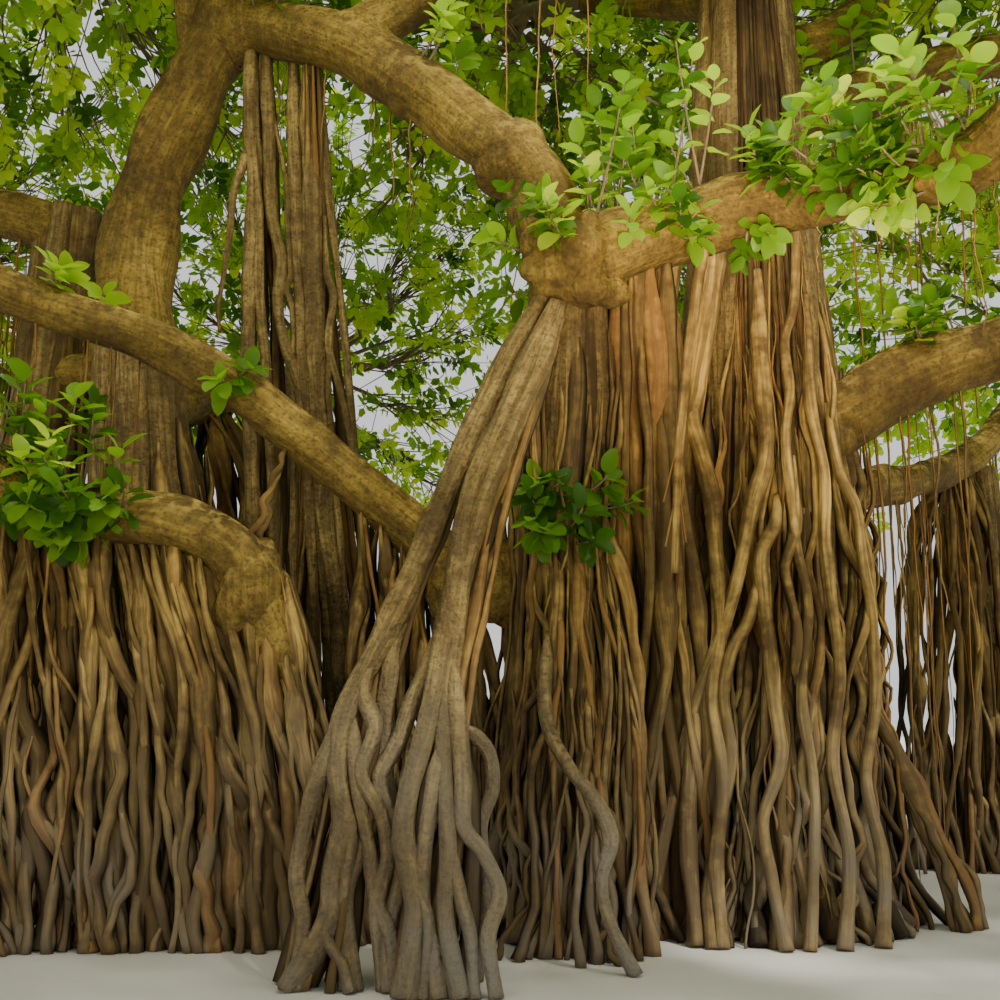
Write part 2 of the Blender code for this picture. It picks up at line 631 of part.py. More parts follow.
def grow_mass(space, start, heading, seed):
    """The tubes and leaves of one mass: a stem on from its bough's tip, and twigs that stay in its space."""
    rng = np.random.default_rng(seed)
    outward = unit(space["centre"] - np.append(CROWN_CENTRE, VAULT_TOP))
    upward = unit(outward + [0, 0, 1.2])
    first = start + heading * STEM_START
    stem = smooth([start, first, space["centre"], space["centre"] + outward * STEM_END], ROOT_RINGS)
    stem[0] = start
    stem[1] = first
    shapes = [tube(stem, spread_over((STEM_THICK, TWIG_THICK), ROOT_RINGS), STEM_SIDES)]
    forks = smooth(stem[2:], 9)
    taken = [stem]
    twigs = 0
    for i, direction in enumerate(directions(outward, TWIGS_PER_MASS + SPARE_DIRECTIONS, rng)):
        base = forks[(5 * i) % 8]
        length = max(SHORTEST_TWIG, reach_of(space, base, direction) - 0.75 * LEAF_LENGTH)
        path = base + direction * np.linspace(TWIG_START, length, 6)[:, None]
        if twigs == TWIGS_PER_MASS or not holds(space, path, TWIG_THICK + SPACE_MARGIN):
            continue
        twigs += 1
        bend = TWIG_BEND * length * unit(np.cross(direction, rng.normal(size=3)))
        line = smooth([base, base + direction * 0.5 * length + bend, base + direction * length], TWIG_RINGS)
        radii = spread_over((TWIG_THICK, TWIG_TAPER * TWIG_THICK), TWIG_RINGS)
        shapes.append(tube(line, radii, TWIG_SIDES))
        for place, along, normal in leaf_places(line, direction, upward, rng):
            shapes += grow_leaf(space, taken, place, along, normal)
    return shapes


def add_mass(name, space, tip, heading, seed):
    """Joins one mass in one Boolean and names it."""
    first, *rest = grow_mass(space, tip + heading * GAP, heading, seed)
    finish(combine(first, rest, "UNION"), name, "foliage")


def add_sprig(limbs, wood, name, size, seed):
    """A short stem on the upper side of a bough, cut clear of it, with a few leaves up its length."""
    rng = np.random.default_rng(seed)
    route, radii, _ = limbs[size.bough][0]
    base = place_on(route, size.share)
    ring = int(size.share * (len(route) - 1))
    run = unit(route[ring + 1] - route[ring])
    rise = unit(SPRIG_LEAN - run * (SPRIG_LEAN @ run))
    top = base + rise * (radii[ring] + SPRIG_STEM)
    stem = (np.array([base, top]), np.array([SPRIG_THICK, TWIG_TAPER * SPRIG_THICK]), ROOT_SIDES)
    first = combine(tube(*stem), cutters_near({size.bough: limbs[size.bough]}, [stem]), "DIFFERENCE")
    shapes = []
    for i in range(size.leaves):
        turn = i * GOLDEN_ANGLE + rng.uniform(0, 0.4)
        along = unit(np.array([math.cos(turn), math.sin(turn), 0.9 - 0.7 * i / size.leaves]))
        low = top - rise * (SPRIG_STEM - LEAF_SINK) * i / size.leaves - along * 0.04
        normal = SPRIG_LEAN + 0.3 * rng.normal(size=3)
        if np.all(distance_to_wood(leaf_points(low, along, normal, SPRIG_LEAF), wood) > SPACE_MARGIN):
            shapes.append(leaf(low, along, normal, SPRIG_LEAF))
    finish(combine(first, shapes, "UNION"), name, "foliage")


# The tree

def add_limbs():
    """All trunks, boughs and roots, each cut clear of those before it. Returns their tubes by name."""
    limbs = {}
    for seed, (name, size) in enumerate(TRUNKS.items()):
        add_wood(limbs, name, trunk(size, seed), "root")
    for name, size in BOUGHS.items():
        add_wood(limbs, name, bough(size), "bark")
    for seed, (name, size) in enumerate(BUNDLES.items()):
        add_wood(limbs, name, bundle(size, seed), "root")
    for seed, (name, size) in enumerate(HANGING.items()):
        add_wood(limbs, name, hanging(size, seed), "root")
    return limbs


def add_foliage(limbs):
    """The masses on the boughs' tips and the sprigs on their upper sides."""
    centres = mass_centres()
    wood = stretches_of(limbs)
    carriers = {name: size.mass for name, size in BOUGHS.items() if size.mass}
    for seed, (bough_name, mass) in enumerate(carriers.items()):
        others = np.array([centre for other, centre in centres.items() if other != mass])
        space = {"centre": centres[mass], "others": others, "wood": wood}
        route = limbs[bough_name][0][0]
        add_mass(f"foliage_{mass[0]}_{mass[1]:02d}", space, route[-1], unit(route[-1] - route[-2]), seed)
    for seed, (name, size) in enumerate(SPRIGS.items()):
        add_sprig(limbs, wood, name, size, seed)


def main():
    for old in list(bpy.data.objects):
        bpy.data.objects.remove(old)
    for name in ("banyan", "guides", "workshop"):
        bpy.context.scene.collection.children.link(bpy.data.collections.new(name))
    make_materials()
    add_foliage(add_limbs())


main()
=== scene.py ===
# %% [markdown]
# # A banyan on its own roots
# A banyan begins as one fig tree and ends as a whole grove. Roots as thin as string hang from its boughs,
# reach the ground, thicken, and fuse into pillars and curtains, until nobody can say which trunk was first.
# This lesson dresses such a tree. The solids of the frame give every limb its place and size, and here each
# limb gets its bark, each trunk its hundreds of roots, and the crown its twigs and leaves.

import math
from collections import namedtuple

import bpy
import numpy as np
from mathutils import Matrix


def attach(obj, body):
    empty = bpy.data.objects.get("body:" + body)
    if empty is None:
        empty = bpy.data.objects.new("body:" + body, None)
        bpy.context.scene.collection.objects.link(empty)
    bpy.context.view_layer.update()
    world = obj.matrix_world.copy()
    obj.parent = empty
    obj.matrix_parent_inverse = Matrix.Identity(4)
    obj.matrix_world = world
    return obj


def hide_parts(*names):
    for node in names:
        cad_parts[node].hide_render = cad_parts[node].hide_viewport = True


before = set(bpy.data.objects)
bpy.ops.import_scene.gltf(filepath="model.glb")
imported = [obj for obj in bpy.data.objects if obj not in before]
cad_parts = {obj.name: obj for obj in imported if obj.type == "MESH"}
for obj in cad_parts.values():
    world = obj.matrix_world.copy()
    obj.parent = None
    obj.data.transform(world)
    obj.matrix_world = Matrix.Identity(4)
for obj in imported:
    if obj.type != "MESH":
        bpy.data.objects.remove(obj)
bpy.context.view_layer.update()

# %% [markdown]
# ## Where we stand
# The tree is seen by somebody who stands under the rim of the crown and looks slightly up at the trunks.
# A camera can be set by eye, but a height and a tilt that a person would have are easier to check: eyes at
# 1.6 m, ten degrees up. The lens is given as the distance, in pixels, at which the picture would hang.

# %% Camera
EYE = (-2.05, -10.2, 1.6)
LOOK_UP = math.radians(10.2)
PICTURE_PIXELS = 1000
LENS_PIXELS = 1200
SENSOR = 36.0


def add_to_scene(name, data):
    """An object that holds this mesh, lamp or lens, linked to the scene."""
    made = bpy.data.objects.new(name, data)
    bpy.context.scene.collection.objects.link(made)
    return made


lens = bpy.data.cameras.new("eye")
lens.sensor_width = SENSOR
lens.lens = SENSOR * LENS_PIXELS / PICTURE_PIXELS
camera = add_to_scene("eye", lens)
camera.location = EYE
camera.rotation_euler = (math.pi / 2 + LOOK_UP, 0, 0)
bpy.context.scene.camera = camera
print("camera at", EYE, "with a lens of", round(lens.lens, 1), "mm")

# %% [markdown]
# ## The tree's plan
# Every limb is a line with a few sizes. These are the same lines that the solids were made from, so what
# is modelled here lies exactly where they lie. Heights and widths are in metres, Z is up, and the origin is
# the centre of the main trunk at the ground. Trunks go from the ground up, and roots from their top down.
#
# A trunk has an axis, the radii of its core along it, and how far its roots spread at the ground. Then come
# the number of its roots, the lanes that they run in and how coarse they are, the number of its smooth old
# lobes, the angle of the furrow between the front two with the number of strings in it, and the share of its
# height that has roots round it.

# %% Trunks
Trunk = namedtuple("Trunk", "axis core spread roots lanes coarse lobes furrow strings rooted")
TRUNKS = {
    "main_trunk": Trunk([(0, 0, 0), (0.16, 0, 2.6), (0.22, 0, 5.4), (0.24, 0, 8.6)],
                        (0.95, 0.84, 0.62, 0.42), 1.3, 195, 26, 1.0, 6, 1.15, 80, 0.64),
    "centre_trunk": Trunk([(-1.55, -0.6, 0), (-1.6, -0.9, 2.4), (-1.52, -1.5, 5.3)],
                          (0.5, 0.4, 0.33, 0.4, 0.25), 0.85, 95, 14, 0.85, 5, 0, 0, 0.92),
    "left_trunk": Trunk([(-4.9, 0.3, 0), (-5.2, 0.35, 3.0), (-5.38, 0.3, 5.0)],
                        (0.75, 0.6, 0.4), 1.15, 115, 18, 1.1, 7, 0, 0, 0.85),
    "old_left_trunk": Trunk([(-6.9, 1.2, 0), (-6.5, 1.1, 3.4), (-6.3, 1.0, 6.5)],
                            (0.5, 0.4, 0.34), 0.75, 60, 12, 0.95, 5, 0, 0, 0.85),
    "right_pillar": Trunk([(3.5, 3.4, 0), (3.5, 3.4, 2.4), (3.45, 3.3, 4.4)],
                          (0.42, 0.34, 0.2), 0.68, 70, 12, 0.8, 5, 0, 0, 0.85),
    "rear_right_pillar": Trunk([(0.9, 4.7, 0), (0.85, 4.6, 2.6), (0.8, 4.5, 5.5)],
                               (0.4, 0.3, 0.2), 0.6, 38, 10, 0.9, 4, 0, 0, 0.85),
    "rear_left_pillar": Trunk([(-4.6, 4.6, 0), (-4.55, 4.5, 2.8), (-4.5, 4.4, 5.75)],
                              (0.4, 0.3, 0.2), 0.6, 38, 10, 0.9, 4, 0, 0, 0.85),
    "left_pillar": Trunk([(-9.3, 1.2, 0), (-9.25, 1.1, 3.0), (-9.2, 0.9, 6.85)],
                         (0.42, 0.3, 0.17), 0.6, 38, 10, 0.9, 4, 0, 0, 0.85),
}

print(len(TRUNKS), "trunks with", sum(size.roots for size in TRUNKS.values()), "roots")

# %% [markdown]
# ### The boughs' plan
# A bough has the points that it passes, its radius at the start and at the tip, and the ring and number of
# the mass of foliage that it carries. Two boughs carry none, because they end in another limb.

# %% Boughs' lines
Bough = namedtuple("Bough", "points thick thin mass")
BOUGHS = {
    "left_riser": Bough([(-5.37, 0.3, 4.7), (-5.36, 0.3, 6.2), (-4.84, 0.1, 7.43), (-4.4, 0, 8.2),
                         (-4.6, 0.6, 9.6)], 0.36, 0.24, ("upper", 2)),
    "arch_bough": Bough([(-4.45, 0, 7.95), (-3.46, -0.5, 7.42), (-2.64, -0.9, 6.72), (-1.81, -1.3, 5.78),
                         (-1.5, -1.5, 4.9)], 0.25, 0.27, None),
    "upper_left_bough": Bough([(-3.4, -0.5, 7.45), (-2.58, -0.6, 7.95), (-1.3, -1.2, 8.8), (-0.3, -1.9, 9.8)],
                              0.2, 0.14, ("upper", 4)),
    "riser_branch": Bough([(-4.9, 0.1, 7.4), (-4.98, -0.1, 8.4), (-4.9, -0.9, 9.3), (-4.85, -1.6, 9.9)],
                          0.13, 0.1, ("upper", 3)),
    "long_left_bough": Bough([(-1.7, -0.85, 2.2), (-2.84, -0.8, 3.13), (-4.38, -1.2, 4.29),
                              (-5.81, -1.6, 4.77), (-7.6, -2.7, 5.4), (-8.6, -3.6, 6.1)],
                             0.2, 0.13, ("outer", 6)),
    "low_left_bough": Bough([(-3.55, -1.3, 1.7), (-3.89, -1.4, 2.6), (-4.4, -1.5, 2.98), (-5.65, -1.7, 3.2),
                             (-6.5, -3.1, 4.2), (-6.0, -4.9, 5.7)], 0.22, 0.13, ("outer", 7)),
    "right_front_bough": Bough([(-1.42, -1.55, 5.0), (-0.99, -1.6, 5.15), (-0.09, -1.7, 5.39),
                                (0.55, -2.3, 5.27), (1.04, -3.3, 5.1), (1.5, -4.9, 5.9)],
                               0.27, 0.13, ("outer", 8)),
    "right_bough": Bough([(0.2, -0.1, 3.75), (0.9, -0.25, 4.12), (1.6, -0.35, 4.5), (2.4, -0.5, 4.75),
                          (3.8, -1.8, 5.3), (4.7, -3.1, 6.1)], 0.31, 0.15, ("outer", 9)),
    "low_right_bough": Bough([(0.3, 0.2, 3.4), (1.52, 1.4, 3.8), (2.6, 2.5, 4.15), (3.45, 3.3, 4.6),
                              (4.5, 4.3, 5.6)], 0.22, 0.14, ("outer", 1)),
    "upper_right_bough": Bough([(0.2, 0.1, 6.9), (1.0, 0.4, 7.28), (2.76, 0.4, 7.86), (4.4, 0.5, 7.9),
                                (5.6, 0.5, 7.7)], 0.26, 0.14, ("outer", 0)),
    "top_right_bough": Bough([(0.2, 0.2, 7.7), (1.2, 0.5, 8.1), (1.9, 0.9, 8.9), (2.3, 1.3, 9.7)],
                             0.23, 0.14, ("upper", 0)),
    "left_back_bough": Bough([(-6.3, 1.0, 6.3), (-7.2, 1.0, 6.55), (-8.6, 1.0, 6.7), (-9.8, 0.8, 7.0)],
                             0.24, 0.14, ("outer", 5)),
    "left_rear_bough": Bough([(-6.4, 1.05, 5.5), (-7.1, 2.2, 6.1), (-7.9, 3.4, 6.5), (-8.6, 4.3, 7.0)],
                             0.2, 0.13, ("outer", 4)),
    "rear_right_bough": Bough([(0.2, 0.2, 4.9), (0.5, 2.2, 5.3), (0.8, 4.5, 5.5), (0.95, 6.6, 6.4)],
                              0.24, 0.14, ("outer", 2)),
    "rear_left_bough": Bough([(-5.25, 0.4, 4.3), (-4.8, 2.3, 5.1), (-4.5, 4.4, 5.75), (-4.7, 6.5, 6.5)],
                             0.24, 0.14, ("outer", 3)),
    "graft_bough": Bough([(-5.2, 0.45, 4.65), (-5.9, 0.8, 4.8), (-6.45, 1.05, 4.85)], 0.19, 0.17, None),
    "fork_back_bough": Bough([(0.24, 0.1, 8.3), (-0.2, 1.3, 9.0), (-1.0, 2.7, 9.9)],
                             0.22, 0.14, ("upper", 1)),
    "fork_top_bough": Bough([(0.22, 0, 8.3), (-0.1, 0.1, 9.8), (-0.9, 0.3, 11.5)], 0.24, 0.13, ("top", 0)),
}

print(len(BOUGHS), "boughs,", sum(bool(size.mass) for size in BOUGHS.values()), "of them with foliage")

# %% [markdown]
# ### The plan of curtains, legs and pillars
# Roots that hang from boughs come in bundles. A bundle has its top, middle and foot, its half width at each,
# and how many roots it has at the back, how many stout ones and how many thin ones. Then come their radius
# and lanes, how many side roots part from each stout one and how far away they go, the bough that they hang
# from where their tops follow it, and whether a solid stands for the bundle. One more root hangs alone and
# ends in the air. It has a start, a drop, a lean and a radius.

# %% Bundles of roots
Bundle = namedtuple("Bundle", "points widths roots thick lanes parts part_reach bough node")
BUNDLES = {
    "prop_left_leg": Bundle([(-1.7, -1.62, 4.75), (-2.72, -2.1, 2.3), (-3.2, -2.65, 0)],
                            (0.03, 0.06, 0.26), (6, 0, 3), 0.045, 3, 0, 0, None, True),
    "prop_right_leg": Bundle([(-1.62, -1.75, 4.6), (-2.22, -2.2, 2.3), (-2.5, -2.85, 0)],
                             (0.03, 0.05, 0.22), (5, 0, 3), 0.045, 3, 0, 0, None, True),
    "low_bough_root": Bundle([(-3.74, -1.47, 2.6), (-3.5, -1.42, 1.2), (-3.35, -1.3, 0)],
                             (0.16, 0.22, 0.36), (8, 6, 10), 0.05, 4, 2, 0.2, None, True),
    "inner_curtain": Bundle([(-4.55, -1.48, 2.9), (-4.2, -1.42, 1.4), (-4.05, -1.35, 0)],
                            (0.34, 0.34, 0.42), (12, 8, 14), 0.046, 4, 1.5, 0.2, "low_left_bough", True),
    "middle_curtain": Bundle([(-5.2, -1.58, 3.1), (-5.0, -1.5, 1.5), (-4.9, -1.4, 0)],
                             (0.34, 0.36, 0.42), (12, 8, 14), 0.046, 4, 1.5, 0.2, "low_left_bough", True),
    "outer_curtain": Bundle([(-5.8, -1.75, 3.2), (-5.8, -1.7, 1.6), (-5.75, -1.6, 0)],
                            (0.34, 0.38, 0.44), (12, 8, 14), 0.046, 4, 1.5, 0.2, "low_left_bough", True),
    "centre_curtain": Bundle([(-1.45, -1.22, 3.1), (-1.35, -1.45, 1.5), (-1.42, -1.65, 0)],
                             (0.2, 0.28, 0.38), (10, 7, 20), 0.034, 5, 2, 0.22, None, True),
    "long_bough_curtain": Bundle([(-2.75, -0.8, 3.05), (-2.6, -0.6, 1.5), (-2.55, -0.55, 0)],
                                 (0.4, 0.5, 0.62), (16, 6, 16), 0.045, 6, 1.5, 0.2, "long_left_bough", False),
    "flank_curtain": Bundle([(-0.95, -1.6, 5.15), (-0.85, -0.95, 2.5), (-0.85, -0.85, 0)],
                            (0.2, 0.3, 0.42), (6, 6, 5), 0.055, 4, 1.5, 0.2, "right_front_bough", False),
    "right_curtain": Bundle([(3.0, 2.9, 4.3), (2.95, 2.95, 2.2), (2.9, 2.9, 0)],
                            (0.42, 0.5, 0.62), (16, 7, 14), 0.042, 6, 1.5, 0.2, "low_right_bough", False),
    "rear_left_curtain": Bundle([(-4.85, 1.3, 4.7), (-4.7, 1.2, 2.4), (-4.6, 1.2, 0)],
                                (0.5, 0.55, 0.6), (16, 3, 5), 0.055, 6, 1, 0.2, "rear_left_bough", False),
    "left_hanging_pillar": Bundle([(-4.2, -0.15, 7.75), (-4.17, 0.2, 4.5), (-3.95, 0.1, 0)],
                                  (0.06, 0.2, 0.34), (5, 0, 4), 0.045, 3, 0, 0, None, True),
    "right_hanging_pillar": Bundle([(-3.75, -0.35, 7.5), (-3.6, 0.2, 4.1), (-3.15, 0.3, 0)],
                                   (0.08, 0.16, 0.34), (5, 0, 4), 0.045, 3, 0, 0, None, True),
    "tie_root": Bundle([(-3.7, -1.02, 3.72), (-3.82, -1.22, 3.2), (-3.95, -1.38, 2.62)],
                       (0.02, 0.03, 0.03), (0, 0, 2), 0.055, 1, 0, 0, None, True),
    "leaning_root": Bundle([(0.5, -0.45, 2.6), (0.95, -0.62, 1.5), (1.42, -0.7, 0)],
                           (0.02, 0.04, 0.08), (0, 1, 2), 0.042, 1, 3, 0.2, None, True),
    "pale_root": Bundle([(-0.1, -0.72, 3.4), (0.02, -0.98, 1.6), (0.0, -1.22, 0)],
                        (0.02, 0.04, 0.08), (0, 1, 1), 0.05, 1, 3, 0.16, None, True),
}

Hanging = namedtuple("Hanging", "start drop lean thick")
HANGING_ROOT = Hanging((-0.5, -1.72, 5.2), 2.6, -0.3, 0.05)
print(len(BUNDLES), "bundles of", sum(sum(size.roots) for size in BUNDLES.values()), "roots")

# %% [markdown]
# ### Roots with a course of their own
# Most roots can follow a rule, because nobody could tell one from the next. The few that catch the eye can't:
# the stout ones of the prop legs and of the hanging pillars, and those in front of the trunks. Each of these
# is drawn one by one, with its radius at the top and at the foot and the points that it passes.

# %% Drawn roots
DrawnRoot = namedtuple("DrawnRoot", "thick thin points")
DRAWN_ROOTS = {
    "prop_left_leg": [
        DrawnRoot(0.1, 0.062, [
            (-1.72, -1.64, 4.7), (-2.05, -1.77, 4.04), (-2.37, -1.96, 3.26), (-2.69, -2.15, 2.43),
            (-3.02, -2.33, 1.67), (-3.08, -2.41, 1.32), (-3.03, -2.5, 0.95), (-3.08, -2.57, 0.64),
            (-3.1, -2.64, 0.36), (-3.31, -2.71, 0)]),
        DrawnRoot(0.085, 0.048, [
            (-1.68, -1.62, 4.6), (-1.99, -1.74, 4.04), (-2.3, -1.88, 3.31), (-2.53, -1.98, 2.76),
            (-2.74, -2.13, 2.2), (-2.79, -2.2, 1.83), (-2.82, -2.26, 1.52), (-2.78, -2.33, 1.13),
            (-2.68, -2.4, 0.77), (-2.74, -2.46, 0.48), (-2.64, -2.54, 0)]),
        DrawnRoot(0.06, 0.045, [
            (-2.8, -2.2, 2.2), (-3.05, -2.36, 1.6), (-3.2, -2.43, 1.23), (-3.26, -2.49, 0.97),
            (-3.29, -2.57, 0.64), (-3.23, -2.64, 0.36), (-3.27, -2.7, 0)]),
        DrawnRoot(0.055, 0.04, [
            (-2.86, -2.22, 2.1), (-2.94, -2.33, 1.77), (-2.85, -2.4, 1.52), (-2.92, -2.47, 1.24),
            (-2.79, -2.52, 1.0), (-2.74, -2.58, 0.74), (-2.79, -2.63, 0.47), (-2.74, -2.7, 0)]),
        DrawnRoot(0.055, 0.04, [
            (-3.0, -2.35, 1.6), (-2.93, -2.48, 1.11), (-2.86, -2.55, 0.79), (-2.79, -2.62, 0.5),
            (-2.7, -2.68, 0.3), (-2.66, -2.76, 0)]),
        DrawnRoot(0.05, 0.04, [
            (-3.06, -2.45, 1.2), (-2.98, -2.54, 0.87), (-3.0, -2.61, 0.53), (-2.96, -2.7, 0)]),
        DrawnRoot(0.045, 0.035, [
            (-2.83, -2.42, 1.2), (-2.92, -2.53, 0.76), (-2.98, -2.6, 0.5), (-2.9, -2.72, 0)]),
        DrawnRoot(0.045, 0.035, [
            (-3.08, -2.58, 0.6), (-3.1, -2.66, 0.33), (-2.98, -2.73, 0.14), (-2.93, -2.78, 0)]),
        DrawnRoot(0.06, 0.042, [
            (-2.36, -2.2, 2.3), (-2.5, -2.26, 1.98), (-2.61, -2.32, 1.7), (-2.7, -2.36, 1.44),
            (-2.81, -2.42, 1.21), (-2.75, -2.49, 1.0), (-2.66, -2.56, 0.67), (-2.72, -2.64, 0.33),
            (-2.69, -2.75, 0)]),
    ],
    "prop_right_leg": [
        DrawnRoot(0.092, 0.058, [
            (-1.64, -1.77, 4.6), (-1.83, -1.87, 4.12), (-2.05, -2.0, 3.61), (-2.25, -2.14, 3.04),
            (-2.38, -2.33, 2.32), (-2.48, -2.49, 1.69), (-2.54, -2.56, 1.42), (-2.61, -2.62, 1.17),
            (-2.64, -2.68, 0.94), (-2.6, -2.74, 0.71), (-2.55, -2.81, 0.44), (-2.6, -2.92, 0)]),
        DrawnRoot(0.085, 0.052, [
            (-1.6, -1.75, 4.6), (-1.78, -1.87, 4.03), (-2.0, -2.03, 3.5), (-2.17, -2.15, 3.01),
            (-2.3, -2.28, 2.52), (-2.38, -2.42, 1.83), (-2.4, -2.52, 1.45), (-2.38, -2.63, 1.1),
            (-2.36, -2.72, 0.78), (-2.37, -2.81, 0.45), (-2.28, -2.92, 0)]),
        DrawnRoot(0.06, 0.04, [
            (-2.36, -2.42, 1.95), (-2.31, -2.53, 1.5), (-2.28, -2.61, 1.2), (-2.27, -2.68, 0.94),
            (-2.15, -2.72, 0.79), (-2.05, -2.78, 0.56), (-2.12, -2.84, 0.32), (-2.07, -2.91, 0)]),
        DrawnRoot(0.055, 0.04, [
            (-2.42, -2.56, 1.4), (-2.48, -2.64, 1.09), (-2.51, -2.71, 0.83), (-2.51, -2.78, 0.56),
            (-2.45, -2.84, 0.29), (-2.4, -2.92, 0)]),
        DrawnRoot(0.045, 0.035, [
            (-2.62, -2.68, 0.9), (-2.53, -2.78, 0.58), (-2.47, -2.84, 0.38), (-2.5, -2.92, 0)]),
        DrawnRoot(0.05, 0.035, [
            (-2.38, -2.68, 0.9), (-2.28, -2.79, 0.53), (-2.22, -2.84, 0.31), (-2.2, -2.92, 0)]),
        DrawnRoot(0.05, 0.04, [
            (-2.36, -2.42, 1.5), (-2.24, -2.38, 1.5), (-2.12, -2.34, 1.37), (-2.1, -2.33, 1.15),
            (-2.18, -2.35, 0.9), (-2.13, -2.4, 0.5), (-2.2, -2.45, 0)]),
    ],
    "left_hanging_pillar": [
        DrawnRoot(0.08, 0.05, [
            (-4.33, -0.12, 7.9), (-4.3, -0.14, 6.88), (-4.25, -0.14, 6.41), (-4.25, -0.14, 5.85),
            (-4.24, -0.14, 5.14), (-4.23, -0.14, 4.44), (-4.1, 0, 2.2), (-4.05, 0, 0)]),
        DrawnRoot(0.06, 0.035, [
            (-4.2, -0.12, 7.8), (-4.14, -0.14, 6.88), (-4.12, -0.14, 6.41), (-4.08, -0.14, 6.0),
            (-3.98, -0.14, 5.56), (-4.0, -0.14, 5.14), (-3.92, -0.14, 4.77), (-3.75, -0.14, 4.17),
            (-3.6, 0, 2.0), (-3.55, 0.05, 0)]),
        DrawnRoot(0.045, 0.012, [
            (-4.28, -0.16, 6.7), (-4.36, -0.18, 6.41), (-4.42, -0.18, 6.17), (-4.44, -0.16, 5.85),
            (-4.48, -0.14, 5.48), (-4.52, -0.14, 5.14), (-4.5, -0.14, 4.9)]),
        DrawnRoot(0.045, 0.035, [
            (-4.26, -0.18, 6.7), (-4.2, -0.2, 6.14), (-4.18, -0.18, 5.7), (-4.17, -0.16, 5.28),
            (-4.12, -0.14, 4.86), (-4.06, -0.14, 4.3), (-3.95, 0, 2.2), (-3.9, 0, 0)]),
        DrawnRoot(0.03, 0.025, [
            (-4.1, -0.14, 6.95), (-3.96, -0.14, 6.28), (-3.93, -0.14, 5.85), (-3.89, -0.14, 5.43),
            (-3.93, -0.14, 5.28), (-3.85, -0.14, 4.8), (-3.8, 0, 2.0), (-3.75, 0, 0)]),
    ],
    "right_hanging_pillar": [
        DrawnRoot(0.065, 0.05, [
            (-3.93, -0.2, 7.75), (-3.91, -0.14, 6.88), (-3.86, -0.14, 6.0), (-3.8, -0.14, 5.14),
            (-3.73, -0.14, 4.31), (-3.5, 0.1, 2.1), (-3.35, 0.15, 0)]),
        DrawnRoot(0.105, 0.08, [
            (-3.77, -0.3, 7.6), (-3.75, -0.14, 6.88), (-3.72, -0.14, 6.0), (-3.67, -0.14, 5.14),
            (-3.62, -0.14, 4.17), (-3.4, 0.1, 2.0), (-3.2, 0.15, 0)]),
        DrawnRoot(0.04, 0.03, [
            (-3.69, -0.3, 7.5), (-3.65, -0.18, 6.88), (-3.55, -0.16, 6.0), (-3.46, -0.14, 5.28),
            (-3.39, -0.14, 4.72), (-3.32, -0.14, 4.04), (-3.1, 0.05, 2.0), (-2.95, 0.1, 0)]),
        DrawnRoot(0.035, 0.025, [
            (-3.6, -0.2, 5.95), (-3.56, -0.22, 5.43), (-3.5, -0.2, 5.19), (-3.54, -0.2, 4.77),
            (-3.43, -0.18, 4.36), (-3.33, -0.14, 3.9), (-3.0, 0.05, 1.9), (-2.85, 0.1, 0)]),
        DrawnRoot(0.03, 0.025, [
            (-3.5, -0.2, 5.25), (-3.53, -0.2, 4.64), (-3.5, -0.18, 4.0), (-3.3, 0.05, 1.9),
            (-3.1, 0.1, 0)]),
    ],
    "main_trunk": [
        DrawnRoot(0.125, 0.05, [
            (-0.22, -0.6, 5.9), (-0.31, -0.7, 5.1), (-0.39, -0.7, 4.64), (-0.51, -0.66, 3.99),
            (-0.57, -0.66, 3.5), (-0.56, -0.78, 2.82), (-0.61, -0.82, 2.18), (-0.59, -0.94, 1.49),
            (-0.66, -1.02, 0.83), (-0.67, -1.34, 0)]),
        DrawnRoot(0.075, 0.045, [
            (-0.42, -0.7, 4.45), (-0.49, -0.7, 4.03), (-0.44, -0.79, 3.67), (-0.38, -0.89, 3.26),
            (-0.37, -0.96, 2.74), (-0.37, -1.0, 2.25), (-0.44, -1.02, 1.72), (-0.4, -1.12, 1.13),
            (-0.49, -1.2, 0.57), (-0.5, -1.42, 0)]),
        DrawnRoot(0.08, 0.05, [
            (-0.5, -0.4, 5.8), (-0.63, -0.45, 4.95), (-0.75, -0.35, 4.29), (-0.82, -0.35, 3.85),
            (-0.83, -0.4, 3.29), (-0.86, -0.5, 2.55), (-0.85, -0.6, 1.88), (-0.94, -0.65, 1.26),
            (-0.92, -0.85, 0.6), (-1.0, -1.15, 0)]),
        DrawnRoot(0.07, 0.045, [
            (0.06, -0.84, 5.2), (0.04, -0.96, 4.16), (0.03, -1.0, 3.62), (-0.08, -1.02, 3.24),
            (-0.17, -1.04, 2.86), (-0.28, -1.03, 2.48), (-0.4, -1.0, 2.1), (-0.6, -0.93, 1.57),
            (-0.75, -0.91, 0.97), (-0.9, -1.0, 0.4), (-0.98, -1.2, 0)]),
        DrawnRoot(0.036, 0.04, [
            (0.45, -0.73, 6.1), (0.35, -0.88, 4.98), (0.24, -0.93, 4.57), (0.25, -0.97, 4.16),
            (0.19, -1.02, 3.75), (0.2, -1.05, 3.36), (0.23, -1.09, 2.85), (0.28, -1.12, 2.41),
            (0.2, -1.15, 1.72), (0.24, -1.22, 0.99), (0.09, -1.5, 0)]),
        DrawnRoot(0.046, 0.046, [
            (0.46, -0.8, 5.0), (0.42, -0.94, 4.1), (0.49, -0.98, 3.5), (0.45, -1.04, 2.98),
            (0.47, -1.08, 2.48), (0.51, -1.08, 1.93), (0.4, -1.15, 1.28), (0.47, -1.22, 0.64),
            (0.34, -1.48, 0)]),
        DrawnRoot(0.042, 0.046, [
            (0.6, -0.75, 4.1), (0.62, -0.93, 3.51), (0.76, -0.88, 3.19), (0.78, -0.9, 2.75),
            (0.83, -0.88, 2.38), (0.82, -0.9, 1.74), (0.68, -1.04, 1.13), (0.75, -1.1, 0.55),
            (0.63, -1.38, 0)]),
    ],
